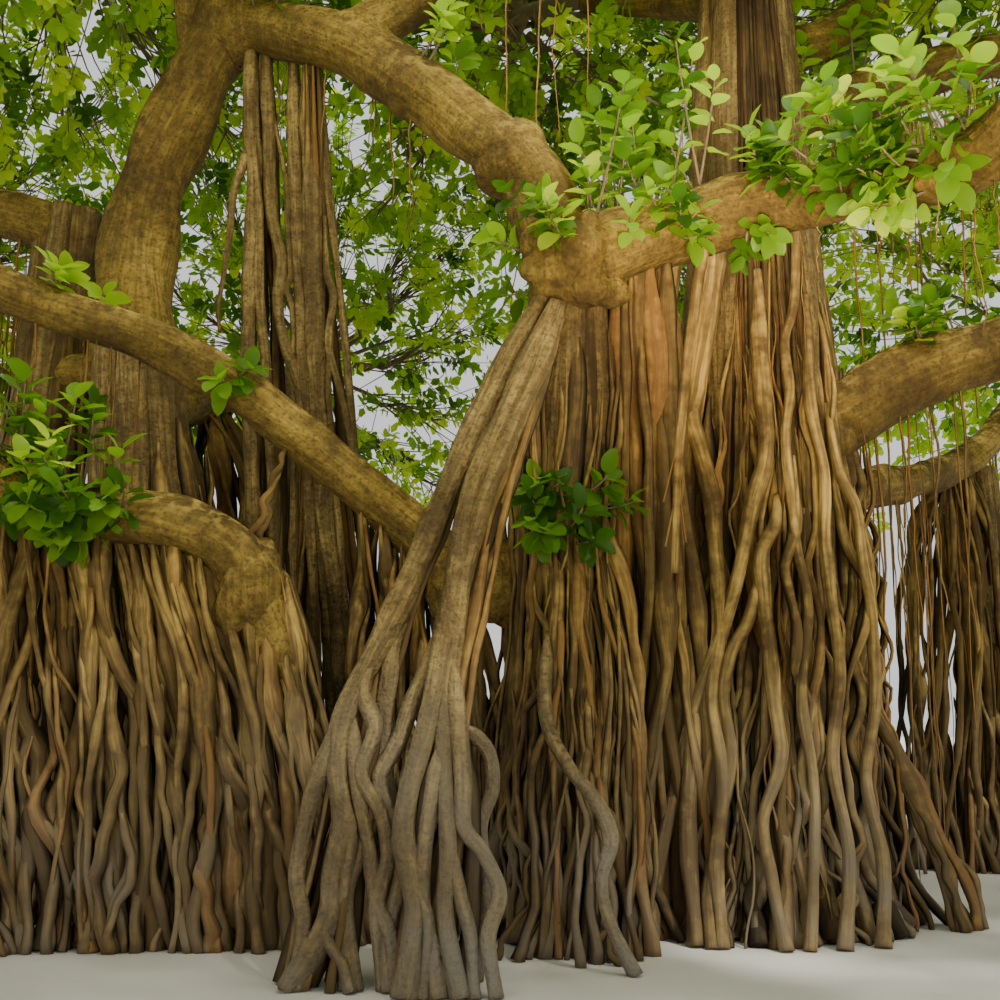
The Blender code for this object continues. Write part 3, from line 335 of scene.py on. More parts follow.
    "pale_root": [
        DrawnRoot(0.055, 0.045, [
            (0.12, -0.95, 3.3), (0.07, -1.07, 3.06), (-0.05, -1.1, 2.81), (-0.05, -1.1, 2.48),
            (-0.03, -1.13, 2.11), (-0.02, -1.16, 1.74), (0.01, -1.19, 1.28), (-0.15, -1.24, 0.85),
            (-0.12, -1.34, 0.45), (-0.07, -1.52, 0)]),
        DrawnRoot(0.05, 0.04, [
            (-0.02, -0.95, 2.75), (-0.1, -1.08, 2.53), (-0.18, -1.08, 2.29), (-0.3, -1.06, 2.07),
            (-0.37, -1.06, 1.76), (-0.34, -1.12, 1.28), (-0.46, -1.15, 0.77), (-0.55, -1.25, 0.36),
            (-0.56, -1.42, 0)]),
    ],
    "centre_curtain": [
        DrawnRoot(0.05, 0.04, [
            (-1.7, -1.3, 2.2), (-1.74, -1.8, 1.62), (-1.6, -2.12, 1.28), (-1.44, -2.18, 1.08),
            (-1.33, -2.2, 0.83), (-1.4, -2.22, 0.57), (-1.36, -2.25, 0.32), (-1.2, -2.3, 0)]),
    ],
}

print(sum(len(roots) for roots in DRAWN_ROOTS.values()), "drawn roots in", len(DRAWN_ROOTS), "bundles")

# %% [markdown]
# ## Lines, and widths along them
# A limb needs a smooth line through its few points. Blender has curves for that, but here the line itself is
# wanted as numbers, to hang roots on it and to let twigs branch from it, so it is worked out with numpy.

# %% Lines
FINE_STEPS = 60
LINE_STEPS = 80


def unit(vectors):
    """The same directions with length 1."""
    return vectors / np.linalg.norm(vectors, axis=-1, keepdims=True)


def level(turn):
    """Level directions, at these angles round the Z axis."""
    return np.stack([np.cos(turn), np.sin(turn), np.zeros_like(turn)], axis=-1)


def length_of(line):
    """How long a line of points is."""
    return np.linalg.norm(np.diff(line, axis=0), axis=1).sum()


def smooth(points, count):
    """Even steps along a Catmull-Rom curve.

    Between two points the curve is the cubic that passes both, with the slope at each taken from the points
    before and after it. The steps are then spaced evenly by the length along it.
    """
    points = np.asarray(points, float)
    padded = np.vstack([2 * points[0] - points[1], points, 2 * points[-1] - points[-2]])
    steps = np.linspace(0, len(points) - 1, FINE_STEPS * len(points))
    span = np.minimum(steps.astype(int), len(points) - 2)
    u = (steps - span)[:, None]
    a, b, c, d = (padded[span + k] for k in range(4))
    curve = 0.5 * (2 * b + (c - a) * u + (2 * a - 5 * b + 4 * c - d) * u**2 + (3 * b - a - 3 * c + d) * u**3)
    along = np.append(0, np.cumsum(np.linalg.norm(np.diff(curve, axis=0), axis=1)))
    even = np.linspace(0, along[-1], count)
    return np.stack([np.interp(even, along, curve[:, k]) for k in range(3)], axis=1)


def spread_over(values, count):
    """A few values drawn out evenly to this many."""
    return np.interp(np.linspace(0, 1, count), np.linspace(0, 1, len(values)), values)


def at_share(routes, share):
    """Points at these shares of routes. Both hold one row for each route."""
    last = routes.shape[1] - 1
    place = np.clip(share * last, 0, last)
    low = np.minimum(place.astype(int), last - 1)
    part = (place - low)[..., None]
    row = np.arange(len(routes))[:, None]
    return routes[row, low] * (1 - part) + routes[row, low + 1] * part


arch = smooth(BOUGHS["arch_bough"].points, LINE_STEPS)
print("the arch is", round(length_of(arch), 2), "m long")

# %% [markdown]
# ## A tube round a line
# Almost everything here is a tube: a bough, a root, a twig. A tube is a ring of points carried along a line.
# The ring must not spin as the line bends, so each ring's side direction is the last one's, pushed back
# flat onto the new ring. Many tubes are made at once, as one array of tubes, rings and points, which takes
# no longer than one. Each tube's ends are closed by a fan of triangles.
#
# Besides its place, each point keeps three things for the bark: `grain`, its place in the limb's own space
# (round the limb and along it), `shade`, how much painted shade it carries where it lies deep or faces
# inward, and `tone`, its root's own colour.

# %% Tubes
GRAIN_SHIFT = 17.0

Skin = namedtuple("Skin", "points faces grain shade tone")


def ring_angles(sides):
    """The angle of each point of a ring."""
    return 2 * math.pi * np.arange(sides) / sides


def tube_faces(rings, sides):
    """Triangles of one tube: two for each cell of the grid of rings and sides, and a fan at each end."""
    ring, side = np.meshgrid(np.arange(rings - 1), np.arange(sides), indexing="ij")
    beside = (side + 1) % sides
    a, b = ring * sides + side, ring * sides + beside
    c, d = b + sides, a + sides
    walls = np.concatenate([np.stack([a, b, c], -1), np.stack([a, c, d], -1)]).reshape(-1, 3)
    side, beside = np.arange(sides), (np.arange(sides) + 1) % sides
    foot = np.stack([np.full(sides, rings * sides), beside, side], -1)
    top = (rings - 1) * sides
    head = np.stack([np.full(sides, rings * sides + 1), top + side, top + beside], -1)
    return np.concatenate([walls, foot, head])


def ring_directions(routes):
    """For each ring of each route, the direction along it and two across it that turn as little as can be."""
    run = unit(np.gradient(routes, axis=1))
    start = np.where(np.abs(run[:, 0, :1]) < 0.6, [[1.0, 0, 0]], [[0, 1.0, 0]])
    across = np.empty_like(routes)
    last = start
    for ring in range(routes.shape[1]):
        last = unit(last - np.sum(last * run[:, ring], axis=1, keepdims=True) * run[:, ring])
        across[:, ring] = last
    return run, across, np.cross(run, across)


def tubes(routes, radii, sides, relief=1.0, shade=0.0, tone=0.0):
    """Many tubes as one skin.

    A point is the route's point plus radius times relief times (cos(angle) across + sin(angle) over), where
    across and over are the ring's two directions. Nothing reaches below the ground. Each tube's grain starts
    further along than the last one's, so that no two look alike.
    """
    count, rings, _ = routes.shape
    _, across, over = ring_directions(routes)
    angle = ring_angles(sides)
    width = (radii[..., None] * relief * np.ones(sides))[..., None]
    round_it = np.cos(angle)[:, None] * across[:, :, None] + np.sin(angle)[:, None] * over[:, :, None]
    walls = routes[:, :, None] + width * round_it
    points = np.concatenate([walls.reshape(count, -1, 3), routes[:, :1], routes[:, -1:]], axis=1)
    points[..., 2] = np.maximum(points[..., 2], 0)

    step = np.linalg.norm(np.diff(routes, axis=1), axis=2)
    along = np.concatenate([np.zeros((count, 1)), np.cumsum(step, axis=1)], axis=1)
    along = along + GRAIN_SHIFT * np.arange(count)[:, None]
    flat = np.stack([np.cos(angle), np.sin(angle)], -1)[None, None] * radii[:, :, None, None]
    grain = np.concatenate([flat, np.broadcast_to(along[..., None, None], (count, rings, sides, 1))], -1)
    ends = grain[:, [0, -1]].mean(axis=2)
    grain = np.concatenate([grain.reshape(count, -1, 3), ends], axis=1)

    deep = shade * np.ones((count, rings, sides))
    deep = np.concatenate([deep.reshape(count, -1), deep[:, 0, :1], deep[:, -1, :1]], axis=1)
    own = np.broadcast_to(np.asarray(tone, float).reshape(-1, 1), deep.shape)
    faces = tube_faces(rings, sides) + (np.arange(count) * points.shape[1])[:, None, None]
    return Skin(points.reshape(-1, 3), faces.reshape(-1, 3), grain.reshape(-1, 3), deep.ravel(), own.ravel())


def joined(skins):
    """Several skins as one."""
    start = np.cumsum([0] + [len(skin.points) for skin in skins[:-1]])
    faces = np.concatenate([skin.faces + first for skin, first in zip(skins, start)])
    points, grain, shade, tone = (np.concatenate([getattr(skin, field) for skin in skins])
                                  for field in ("points", "grain", "shade", "tone"))
    return Skin(points, faces, grain, shade, tone)


print("a tube of 3 rings with 8 sides has", len(tube_faces(3, 8)), "triangles")

# %% [markdown]
# ### From a skin to an object
# A skin becomes a mesh object at the origin. Blender could take its points one by one, but here they come by
# the million, so whole arrays are handed over with foreach_set. The three things that each point keeps for
# the bark go along as attributes of the mesh, with a fourth, `cloud`, that makes bark paler and darker from
# place to place. Every piece rides on the one body of the frame, and replaces the solids that it dresses.

# %% Pieces
CLOUD_SPEED = 3.2
CLOUD_BEND = 5

counts = {}


def slow_clouds(points):
    """Values round a half that change slowly from place to place.

    They are the mean of sines along six directions, each bent by a slower sine along another of the six.
    """
    waves = np.random.default_rng(90).normal(0, CLOUD_SPEED, (6, 3))
    bend = CLOUD_BEND * np.sin(points @ waves[::-1].T / 3)
    return 0.5 + np.sin(points @ waves.T + bend).mean(axis=1) * 0.45


def keep_at_points(mesh, name, kind, field, values):
    """Stores one value or vector for each point of a mesh."""
    mesh.attributes.new(name, kind, "POINT").data.foreach_set(field, values.astype(np.float32).ravel())


def make_piece(name, skin, finishes, nodes=(), finish_of_face=None):
    """Puts a skin into a mesh object at the origin, with its finishes, and ties it to the frame."""
    mesh = bpy.data.meshes.new(name)
    mesh.vertices.add(len(skin.points))
    mesh.vertices.foreach_set("co", skin.points.astype(np.float32).ravel())
    mesh.loops.add(skin.faces.size)
    mesh.loops.foreach_set("vertex_index", skin.faces.astype(np.int32).ravel())
    mesh.polygons.add(len(skin.faces))
    mesh.polygons.foreach_set("loop_start", np.arange(0, skin.faces.size, 3, dtype=np.int32))
    mesh.polygons.foreach_set("use_smooth", np.ones(len(skin.faces), bool))
    if finish_of_face is not None:
        mesh.polygons.foreach_set("material_index", finish_of_face.astype(np.int32))
    mesh.update(calc_edges=True)
    keep_at_points(mesh, "grain", "FLOAT_VECTOR", "vector", skin.grain)
    keep_at_points(mesh, "shade", "FLOAT", "value", skin.shade)
    keep_at_points(mesh, "tone", "FLOAT", "value", skin.tone)
    keep_at_points(mesh, "cloud", "FLOAT", "value", slow_clouds(skin.points))
    for finish in finishes:
        mesh.materials.append(finish)
    made = add_to_scene(name, mesh)
    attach(made, "root")
    if nodes:
        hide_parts(*nodes)
    counts[name] = len(skin.faces)


print("clouds along the arch: from", slow_clouds(arch).min().round(2), "to", slow_clouds(arch).max().round(2))

# %% [markdown]
# ## Bark
# The bark of the boughs is smooth and warm, grey-tan to ochre, with faint rings round the limb, dark specks,
# and a paler upper side, which is painted light. Roots are stringy instead: their colour runs in streaks
# along them, from ochre high up to grey near the ground, where feet and weather have worn them, and it turns
# grey in patches rather than all round. That grey is darker too, as painted shade low under the crown. An
# image could hold all this, but it would stretch on limbs of such different sizes. Here the patterns are read
# from
# `grain`, so that they run along each limb in real metres, however it bends.
#
# A few short helpers come first. Each adds one kind of node and returns what it puts out, so that a finish
# reads like a recipe.

# %% Helpers for finishes
def paint(colour, strength=1.0, lift=0.0):
    """A colour for a shader's socket: times its strength and plus its lift, with 1 for opaque."""
    return (*(min(1.0, strength * part + lift) for part in colour), 1.0)


def new_finish(name, roughness, gloss=0.5):
    """A material with this roughness and gloss, and its main shader."""
    made = bpy.data.materials.new(name)
    made.use_nodes = True
    shader = made.node_tree.nodes["Principled BSDF"]
    shader.inputs["Roughness"].default_value = roughness
    shader.inputs["Specular IOR Level"].default_value = gloss
    return made, shader


def plain_finish(name, colour, roughness):
    """A material of one colour."""
    made, shader = new_finish(name, roughness)
    shader.inputs["Base Color"].default_value = paint(colour)
    return made


def add_node(tree, kind, inputs=(), **settings):
    """A shader node with these settings. Each input, by name or number, gets a value or another's output."""
    made = tree.nodes.new("ShaderNode" + kind)
    for key, value in settings.items():
        setattr(made, key, value)
    for key, value in dict(inputs).items():
        if isinstance(value, bpy.types.NodeSocket):
            tree.links.new(value, made.inputs[key])
        else:
            made.inputs[key].default_value = value
    return made


def kept(tree, name):
    """One of the values that each point of a piece keeps."""
    return add_node(tree, "Attribute", attribute_name=name).outputs["Fac"]


def upward(tree, vector):
    """The part of a vector along Z."""
    return add_node(tree, "SeparateXYZ", {"Vector": vector}).outputs[2]


def stretched(tree, place, size):
    """The place with each direction scaled."""
    return add_node(tree, "Mapping", {"Vector": place, "Scale": size}).outputs[0]


def noise(tree, place, scale, detail=2.0):
    """Cloudy values round a half, at this many blobs to the metre."""
    sockets = {"Vector": place, "Scale": scale, "Detail": detail, "Roughness": 0.6}
    return add_node(tree, "TexNoise", sockets).outputs[0]


def ramp(tree, value, low, high, start=0.0, end=1.0):
    """value between low and high becomes start to end, and stays there outside them."""
    sockets = {"Value": value, "From Min": low, "From Max": high, "To Min": start, "To Max": end}
    return add_node(tree, "MapRange", sockets).outputs[0]


def combined(tree, operation, first, second):
    """The sum or product of two values."""
    return add_node(tree, "Math", {0: first, 1: second}, operation=operation).outputs[0]


def mixed(tree, share, first, second):
    """Two colours mixed by share."""
    return add_node(tree, "Mix", {0: share, 6: first, 7: second}, data_type="RGBA").outputs[2]


# The colour of the painted light on a bough's upper side:
print("a painted sunlit ochre:", paint((0.37, 0.245, 0.045), 1.6, 0.04))

# %% [markdown]
# ### Three barks
# A bark starts as patches of a light and a dark colour. Then come its coats, each mixed over what lies below
# by a share of its own: dark streaks along the grain, rings and specks, the worn grey near the ground, which
# is also painted shade there, the orange of young roots, painted shade on the underside, painted light on the
# upper side, the brown of dull roots, and last the near black of painted shade in crevices and on roots that
# lie deep or behind. Boughs, old limbs and roots differ only in colours and in how strongly the marks show.

# %% Bark finishes
BARK_ROUGHNESS = 0.85
BARK_GLOSS = 0.25
STRINGS_PER_METRE = 26.0
STRING_STRETCH = (1.0, 1.0, 0.07)
BLOTCHES_PER_METRE = 9.0
RINGS_PER_METRE = 7.0
RING_STRETCH = (1.0, 1.0, 3.0)
SPECKS_PER_METRE = 34.0
PIT_DEPTH = -0.45
STREAK_RANGE = (0.42, 0.62)
BAND_RANGE = (0.5, 0.66)
SPECK_RANGE = (0.52, 0.68)
WORN_AND_SHADED_RANGE = (0.32, 0.68)
# Painted light: a paler upper side where the surface faces up, in patches.
SUNNY_RANGE = (0.35, 0.9)
LIT_PATCH_RANGE = (0.5, 0.6)
PATCH_RANGE = (0.7, 1.3)
# Near the ground bark turns to its foot colour: worn grey bark, made darker as painted shade under the crown.
WORN_AND_SHADED_BELOW = 2.3
ALL_WORN_AND_SHADED_BELOW = 0.4
# Near black: the colour of painted shade in crevices and on roots that lie deep or behind.
PAINTED_CREVICE_SHADE = (0.010, 0.006, 0.003)


def wood_finish(name, light, dark, foot, fresh, top_light, streaks, rings):
    """Bark whose colour runs in streaks along the limb, with rings round it, and changes with height and age.

    light and dark are its two main colours, foot the one near the ground, worn grey and painted shade at
    once, fresh that of young roots. The sixth is how strongly painted light makes the upper side paler, and
    streaks and rings how strongly those marks show. Bark without rings has no specks and no pits either,
    which would hardly show on thin roots.
    """
    made, shader = new_finish(name, BARK_ROUGHNESS, BARK_GLOSS)
    tree = made.node_tree
    grain = add_node(tree, "Attribute", attribute_name="grain").outputs["Vector"]
    shade, tone, clouds = (kept(tree, each) for each in ("shade", "tone", "cloud"))
    place = add_node(tree, "TexCoord").outputs["Object"]
    height = upward(tree, place)
    facing = upward(tree, add_node(tree, "NewGeometry").outputs["Normal"])
    strings = noise(tree, stretched(tree, grain, STRING_STRETCH), STRINGS_PER_METRE)
    blotches = noise(tree, place, BLOTCHES_PER_METRE)
    rough = blotches

    coats = [(ramp(tree, strings, *STREAK_RANGE, streaks, 0.0), paint(dark, 0.55))]
    if rings:
        bands = noise(tree, stretched(tree, grain, RING_STRETCH), RINGS_PER_METRE, 1.0)
        specks = noise(tree, place, SPECKS_PER_METRE, 1.0)
        coats.append((ramp(tree, bands, *BAND_RANGE, 0.0, rings), paint(dark, 0.6)))
        coats.append((ramp(tree, specks, *SPECK_RANGE, 0.0, 0.5), paint(dark, 0.4)))
        rough = combined(tree, "ADD", blotches, combined(tree, "MULTIPLY", specks, PIT_DEPTH))
    # worn grey near the ground, darkened there as painted shade
    worn_and_shaded = combined(tree, "MULTIPLY", ramp(tree, height, WORN_AND_SHADED_BELOW, ALL_WORN_AND_SHADED_BELOW),
                    ramp(tree, clouds, *WORN_AND_SHADED_RANGE, 0.3, 1.0))
    # painted light: the upper side is paler, in patches
    lit_top = combined(tree, "MULTIPLY", ramp(tree, facing, *SUNNY_RANGE, 0.0, top_light),
                        ramp(tree, blotches, *LIT_PATCH_RANGE))
    coats += [
        (worn_and_shaded, paint(foot)),
        (ramp(tree, tone, 0.65, 1.0, 0.0, 0.85), paint(fresh)),
        # painted shade: the underside is darker
        (ramp(tree, facing, -0.1, -0.95, 0.0, 0.45), paint(dark, 0.45)),
        (lit_top, paint(light, 1.6, 0.04)),
        (ramp(tree, tone, 0.0, 0.5, 0.85, 0.0), paint(dark, 0.7)),
        # painted shade: the darker a point's kept shade, the nearer to black
        (ramp(tree, shade, 0.0, 0.9, 0.0, 0.97), paint(PAINTED_CREVICE_SHADE)),
    ]
    patches = combined(tree, "ADD", clouds, blotches)
    colour = mixed(tree, ramp(tree, patches, *PATCH_RANGE), paint(dark), paint(light))
    for share, coat in coats:
        colour = mixed(tree, share, colour, coat)
    tree.links.new(colour, shader.inputs["Base Color"])

    relief = add_node(tree, "Bump", {"Strength": 0.6, "Distance": 0.02, "Height": strings}).outputs[0]
    if rings:
        pits = {"Strength": 0.8, "Distance": 0.035, "Height": rough, "Normal": relief}
        relief = add_node(tree, "Bump", pits).outputs[0]
    tree.links.new(relief, shader.inputs["Normal"])
    return made


BOUGH_BARK = wood_finish("bough_bark", light=(0.37, 0.245, 0.045), dark=(0.105, 0.064, 0.014),
                         foot=(0.24, 0.165, 0.07), fresh=(0.33, 0.17, 0.05),
                         top_light=0.5, streaks=0.45, rings=0.28)
LIMB_BARK = wood_finish("limb_bark", light=(0.375, 0.26, 0.08), dark=(0.115, 0.072, 0.022),
                        foot=(0.17, 0.148, 0.118), fresh=(0.33, 0.17, 0.05),
                        top_light=0.3, streaks=0.65, rings=0.2)
ROOT_BARK = wood_finish("root_bark", light=(0.54, 0.35, 0.09), dark=(0.12, 0.07, 0.02),
                        foot=(0.175, 0.143, 0.10), fresh=(0.27, 0.115, 0.025),
                        top_light=0.1, streaks=0.7, rings=0.0)
print("finishes:", BOUGH_BARK.name, LIMB_BARK.name, ROOT_BARK.name)

# %% [markdown]
# ## Boughs
# A banyan's bough is a heavy, smooth arm. It swells where it leaves the trunk, it is never quite round, and
# it carries knobs where twigs once were. A curve with a bevel would give a clean pipe, so the radius is
# changed from point to point: long waves for the muscle, and many round knobs. The lines and radii are the
# solids' own. Each bough slims at its very start, so that it melts into the limb that it grows from.

# %% Boughs
BOUGH_SIDES = 32
RING_STEP = 0.06
LENGTH_STEPS = 40
COLLAR = 0.12
COLLAR_FADE = 10
MUSCLE = 0.032
MUSCLE_WAVES = {1: 0.7, 2: 1.0, 3: 0.6, 4: 0.35}
MUSCLE_SPEEDS = (0.8, 6.5)
SPEEDS_EACH = 3
KNOB_SPACING = 0.3
FIRST_KNOB = 0.2
KNOB_ROUNDNESS = 1.6
KNOB_SIZES = (0.04, 0.2)
KNOB_HEIGHTS = (0.04, 0.15)
MELT = 0.1
SLIMMEST = 0.15
LONG_MELT = {"low_left_bough": 0.5, "long_left_bough": 0.6}


def bough_line(size, rings):
    """The line of a bough and its radius along it: from thick to thin, with a swelling at its start."""
    along = np.linspace(0, 1, rings)
    radii = (size.thick + (size.thin - size.thick) * along) * (1 + COLLAR * np.exp(-along * COLLAR_FADE))
    return smooth(size.points, rings), radii


def muscle(length, rings, sides, rng):
    """Relief of a bough: 1 plus waves of angle and length, plus round knobs of many sizes.

    Each wave is a sine of m times the angle and k times the length, with m from 1 to 4. A knob is a bell
    shape in length and in angle.
    """
    angle = ring_angles(sides)
    along = np.linspace(0, length, rings)[:, None]
    relief = np.ones((rings, sides))
    for m, strength in MUSCLE_WAVES.items():
        for k in rng.uniform(*MUSCLE_SPEEDS, SPEEDS_EACH):
            relief += MUSCLE * strength * np.sin(m * angle + k * along + rng.uniform(0, 2 * math.pi))
    for _ in range(int(length / KNOB_SPACING)):
        where, turn = rng.uniform(FIRST_KNOB, length), rng.uniform(0, 2 * math.pi)
        size, height = rng.uniform(*KNOB_SIZES), rng.uniform(*KNOB_HEIGHTS)
        apart = (np.cos(angle - turn) - 1) / (KNOB_ROUNDNESS * size)
        relief += height * np.exp(-((along - where) / size) ** 2 + apart)
    return relief


def bough(size, melt, rng):
    """A bough from its line, its radii and its relief, slimmed over the length of its melt."""
    length = length_of(smooth(size.points, LENGTH_STEPS))
    rings = int(length / RING_STEP)
    line, radii = bough_line(size, rings)
    slim = np.sqrt(np.clip(np.linspace(0, length, rings) / melt, SLIMMEST, 1))
    relief = muscle(length, rings, BOUGH_SIDES, rng)
    return tubes(line[None], (radii * slim)[None], BOUGH_SIDES, relief[None], tone=[0.5])


for seed, (name, size) in enumerate(BOUGHS.items()):
    skin = bough(size, LONG_MELT.get(name, MELT), np.random.default_rng(100 + seed))
    make_piece(name + "_bark", skin, [BOUGH_BARK], [name])
print(sum(counts.values()), "triangles in", len(BOUGHS), "boughs")

# %% [markdown]
# ### Burls
# Where two limbs of a banyan meet, the wood heals over in a knot of lumps and folds. A burl is one closed
# ball, drawn out to an egg. Its radius is 1 plus a bell for each lump, which falls off with the distance from
# the lump's own direction, and minus a narrow furrow round each. Where it swells least, in its hollows and
# furrows, it carries painted shade. It hides where one limb's tube ends in the other.

# %% Burls
BURL_RINGS = 42
BURL_SIDES = 56
LUMP_SIZES = (0.16, 0.5)
LUMP_HEIGHTS = (0.3, 1)
FURROW_DEPTH = 0.4
FURROW_PLACE = 1.5
FURROW_WIDTH = 0.3
# Painted shade in a burl's hollows and furrows, where it swells least.
SHADED_BELOW = 0.9
SHADING = 3
DEEPEST = 0.8

Burl = namedtuple("Burl", "middle reach lumps height")
BURLS = {
    "knot_burl": Burl((-1.48, -1.56, 4.98), (0.37, 0.33, 0.38), 34, 0.24),
    "left_fork_burl": Burl((-4.45, 0.0, 7.9), (0.46, 0.36, 0.4), 8, 0.05),
    "elbow_burl": Burl((-3.86, -1.4, 2.5), (0.25, 0.25, 0.34), 20, 0.2),
    "right_fork_burl": Burl((0.45, -0.2, 3.9), (0.45, 0.4, 0.4), 16, 0.15),
    "long_bough_burl": Burl((-2.2, -0.85, 2.65), (0.42, 0.26, 0.36), 16, 0.15),
    "upper_fork_burl": Burl((-3.3, -0.5, 7.45), (0.34, 0.28, 0.28), 8, 0.08),
    "arch_burl": Burl((-1.95, -1.22, 5.98), (0.3, 0.3, 0.34), 14, 0.12),
}


def burl(plan, rng):
    """A ball with lumps and furrows, as a tube whose rings follow a half circle.

    Its surface is (sin t cos angle, sin t sin angle, cos t) times the swell, stretched to the burl's reach.
    """
    t = np.linspace(0, math.pi, BURL_RINGS)[:, None]
    angle = ring_angles(BURL_SIDES)[None]
    ball = np.stack([np.sin(t) * np.cos(angle), np.sin(t) * np.sin(angle), np.cos(t) + 0 * angle], -1)
    swell = np.ones(ball.shape[:2])
    for heading in unit(rng.normal(0, 1, (plan.lumps, 3))):
        apart = np.linalg.norm(ball - heading, axis=-1) / rng.uniform(*LUMP_SIZES)
        height = rng.uniform(*LUMP_HEIGHTS) * plan.height
        furrow = np.exp(-((apart - FURROW_PLACE) / FURROW_WIDTH) ** 2)
        swell += height * (np.exp(-apart**2) - FURROW_DEPTH * furrow)
    points = (ball * swell[..., None] * plan.reach + plan.middle).reshape(-1, 3)
    poles = [points[:BURL_SIDES].mean(axis=0), points[-BURL_SIDES:].mean(axis=0)]
    points = np.concatenate([points, poles])
    faces = tube_faces(BURL_RINGS, BURL_SIDES)[:, ::-1]
    # painted shade where the ball swells least
    deep = np.append((SHADED_BELOW - swell).clip(0, 1).ravel() * SHADING, [0, 0]).clip(0, DEEPEST)
    return Skin(points, faces, points - plan.middle, deep, np.full(len(points), 0.5))


for seed, (name, plan) in enumerate(BURLS.items()):
    make_piece(name, burl(plan, np.random.default_rng(150 + seed)), [BOUGH_BARK])
print(len(BURLS), "burls")

# %% [markdown]
# ## Roots that have fused
# Each trunk is a core with roots wrapped round it. The roots wander sideways as they come down, run
# together, part again, and splay where they meet the ground. Sculpting them would take days, so they follow
# a rule: a root keeps its angle round the trunk, plus a sway that is a sum of slow waves, and is drawn to
# one of a few lanes, where others run too. It lies on the core or half sunk in it. Those that lie deeper
# carry painted shade, as dark as in a crevice, and so does the side of each root that faces the core.

# %% Sway, sinews and side roots
KNEE = 0.97
KNEE_HEIGHT = 1.3
WAVE_SPEEDS = (0.7, 1.3)
WAVE_SIZES = (0.1, 1)
WAVE_FADE = 0.95
QUICKENING = 1.15
SWAY_GROWTH = 5
SINEWS = {2: 1.0, 3: 0.6, 5: 0.3}
SINEW_DRIFT = 9
BULGES = (7, 13, 29, 43)
BULGE = 0.1
ROOT_WIDTH = 0.8
WIDENING = 0.25
FOOT_WIDTH = 0.2
FOOT_SHARPNESS = 14
TOP_WIDTH = 0.2
TOP_GROWTH = 7
PARTED_RINGS = 24
PARTED_WAVES = (1, 2.2, 4)
PARTED_REACHES = (0.35, 1)
PARTED_BY = 0.5
STEP_AWAY = 0.8
DRIFT_AWAY = 0.35
PARTED_SWAY = 0.3
PARTED_WIDTHS = (0.5, 0.85)
PARTED_TOP = 0.3
PARTED_GROWTH = 6
PARTED_RIPPLE = 0.1
PARTED_RIPPLES = 17


def sway(count, rings, size, waves, rng):
    """Sideways wandering of each root: a sum of waves of its length, which starts from nothing at its top.

    A wave is arcsin(KNEE sin x), a sine with its flanks drawn straight, so that the root bends in knees.
    """
    down = np.linspace(0, 1, rings)
    total = np.zeros((count, rings))
    for wave in waves:
        speed = wave * rng.uniform(*WAVE_SPEEDS, (count, 1))
        phase = rng.uniform(0, 2 * math.pi, (count, 1))
        bent = np.arcsin(KNEE * np.sin(2 * math.pi * speed * down**QUICKENING + phase)) / KNEE_HEIGHT
        total += rng.uniform(*WAVE_SIZES, (count, 1)) * bent / wave**WAVE_FADE
    return size * total * np.minimum(1, SWAY_GROWTH * down)


def sinews(count, rings, sides, depth, rng):
    """Relief of roots: 1 plus ridges that run along each root and drift slowly round it."""
    angle = ring_angles(sides)
    down = np.linspace(0, 1, rings)[:, None]
    relief = np.ones((count, rings, sides))
    for m, strength in SINEWS.items():
        phase = rng.uniform(0, 2 * math.pi, (count, 1, 1))
        drift = rng.uniform(-SINEW_DRIFT, SINEW_DRIFT, (count, 1, 1))
        relief += depth * strength * np.sin(m * angle + drift * down + phase)
    return relief


def swelling(count, rings, rng):
    """Widths along each root, round 1: it bulges and narrows, slims to its top and has a broad foot."""
    down = np.linspace(0, 1, rings)
    waves = sum(np.sin(speed * down + rng.uniform(0, 6, (count, 1))) * BULGE for speed in BULGES)
    width = ROOT_WIDTH + WIDENING * down + FOOT_WIDTH * down**FOOT_SHARPNESS
    return (1 + waves) * width * np.minimum(1, TOP_WIDTH + TOP_GROWTH * down)


def parted(routes, radii, each, starts, reach, rng):
    """Routes and radii of side roots that part from roots on their way down, this many from each.

    A side root follows its root from its start. It moves away sideways by its reach times a smooth step in
    the first half of its way, and goes on beside the root with a sway of its own.
    """
    count = max(1, int(each * len(routes)))
    parent = rng.integers(0, len(routes), count)
    down = np.linspace(0, 1, PARTED_RINGS)
    start = rng.uniform(*starts, (count, 1))
    place = start + (1 - start) * down
    route = at_share(routes[parent], place)
    turn = rng.uniform(0, 2 * math.pi, count)
    step = np.clip(down / PARTED_BY, 0, 1)
    away = STEP_AWAY * step**2 * (3 - 2 * step) + DRIFT_AWAY * down**3
    move = rng.uniform(*PARTED_REACHES, (count, 1)) * reach * away
    route = route + level(turn)[:, None] * move[..., None]
    for side in (0, 1):
        route[..., side] += sway(count, PARTED_RINGS, PARTED_SWAY * reach, PARTED_WAVES, rng)
    wide = at_share(radii[parent][..., None], place)[..., 0] * rng.uniform(*PARTED_WIDTHS, (count, 1))
    ripple = 1 + PARTED_RIPPLE * np.sin(PARTED_RIPPLES * down + turn[:, None])
    return route, wide * np.minimum(1, PARTED_TOP + PARTED_GROWTH * down) * ripple


print("a knee bends as high as", round(math.asin(KNEE) / KNEE_HEIGHT, 2))

# %% [markdown]
# ### Trunks
# The main trunk is a sheaf of such roots round a core that is dark with painted shade. High up it shows
# smooth lobes, thick roots that fused long ago, with orange-brown strings in the furrow between the front two
# that painted shade makes dark. From half way down hundreds of roots of all sizes cover them: stout ones
# packed side by side, thinner ones that run together over them, and a few that hang free in front. They lie
# in four layers. Each layer has its share of the roots, where their tops are, how deep they sit, their radii,
# how far they wander, how much painted shade they carry and their tones.

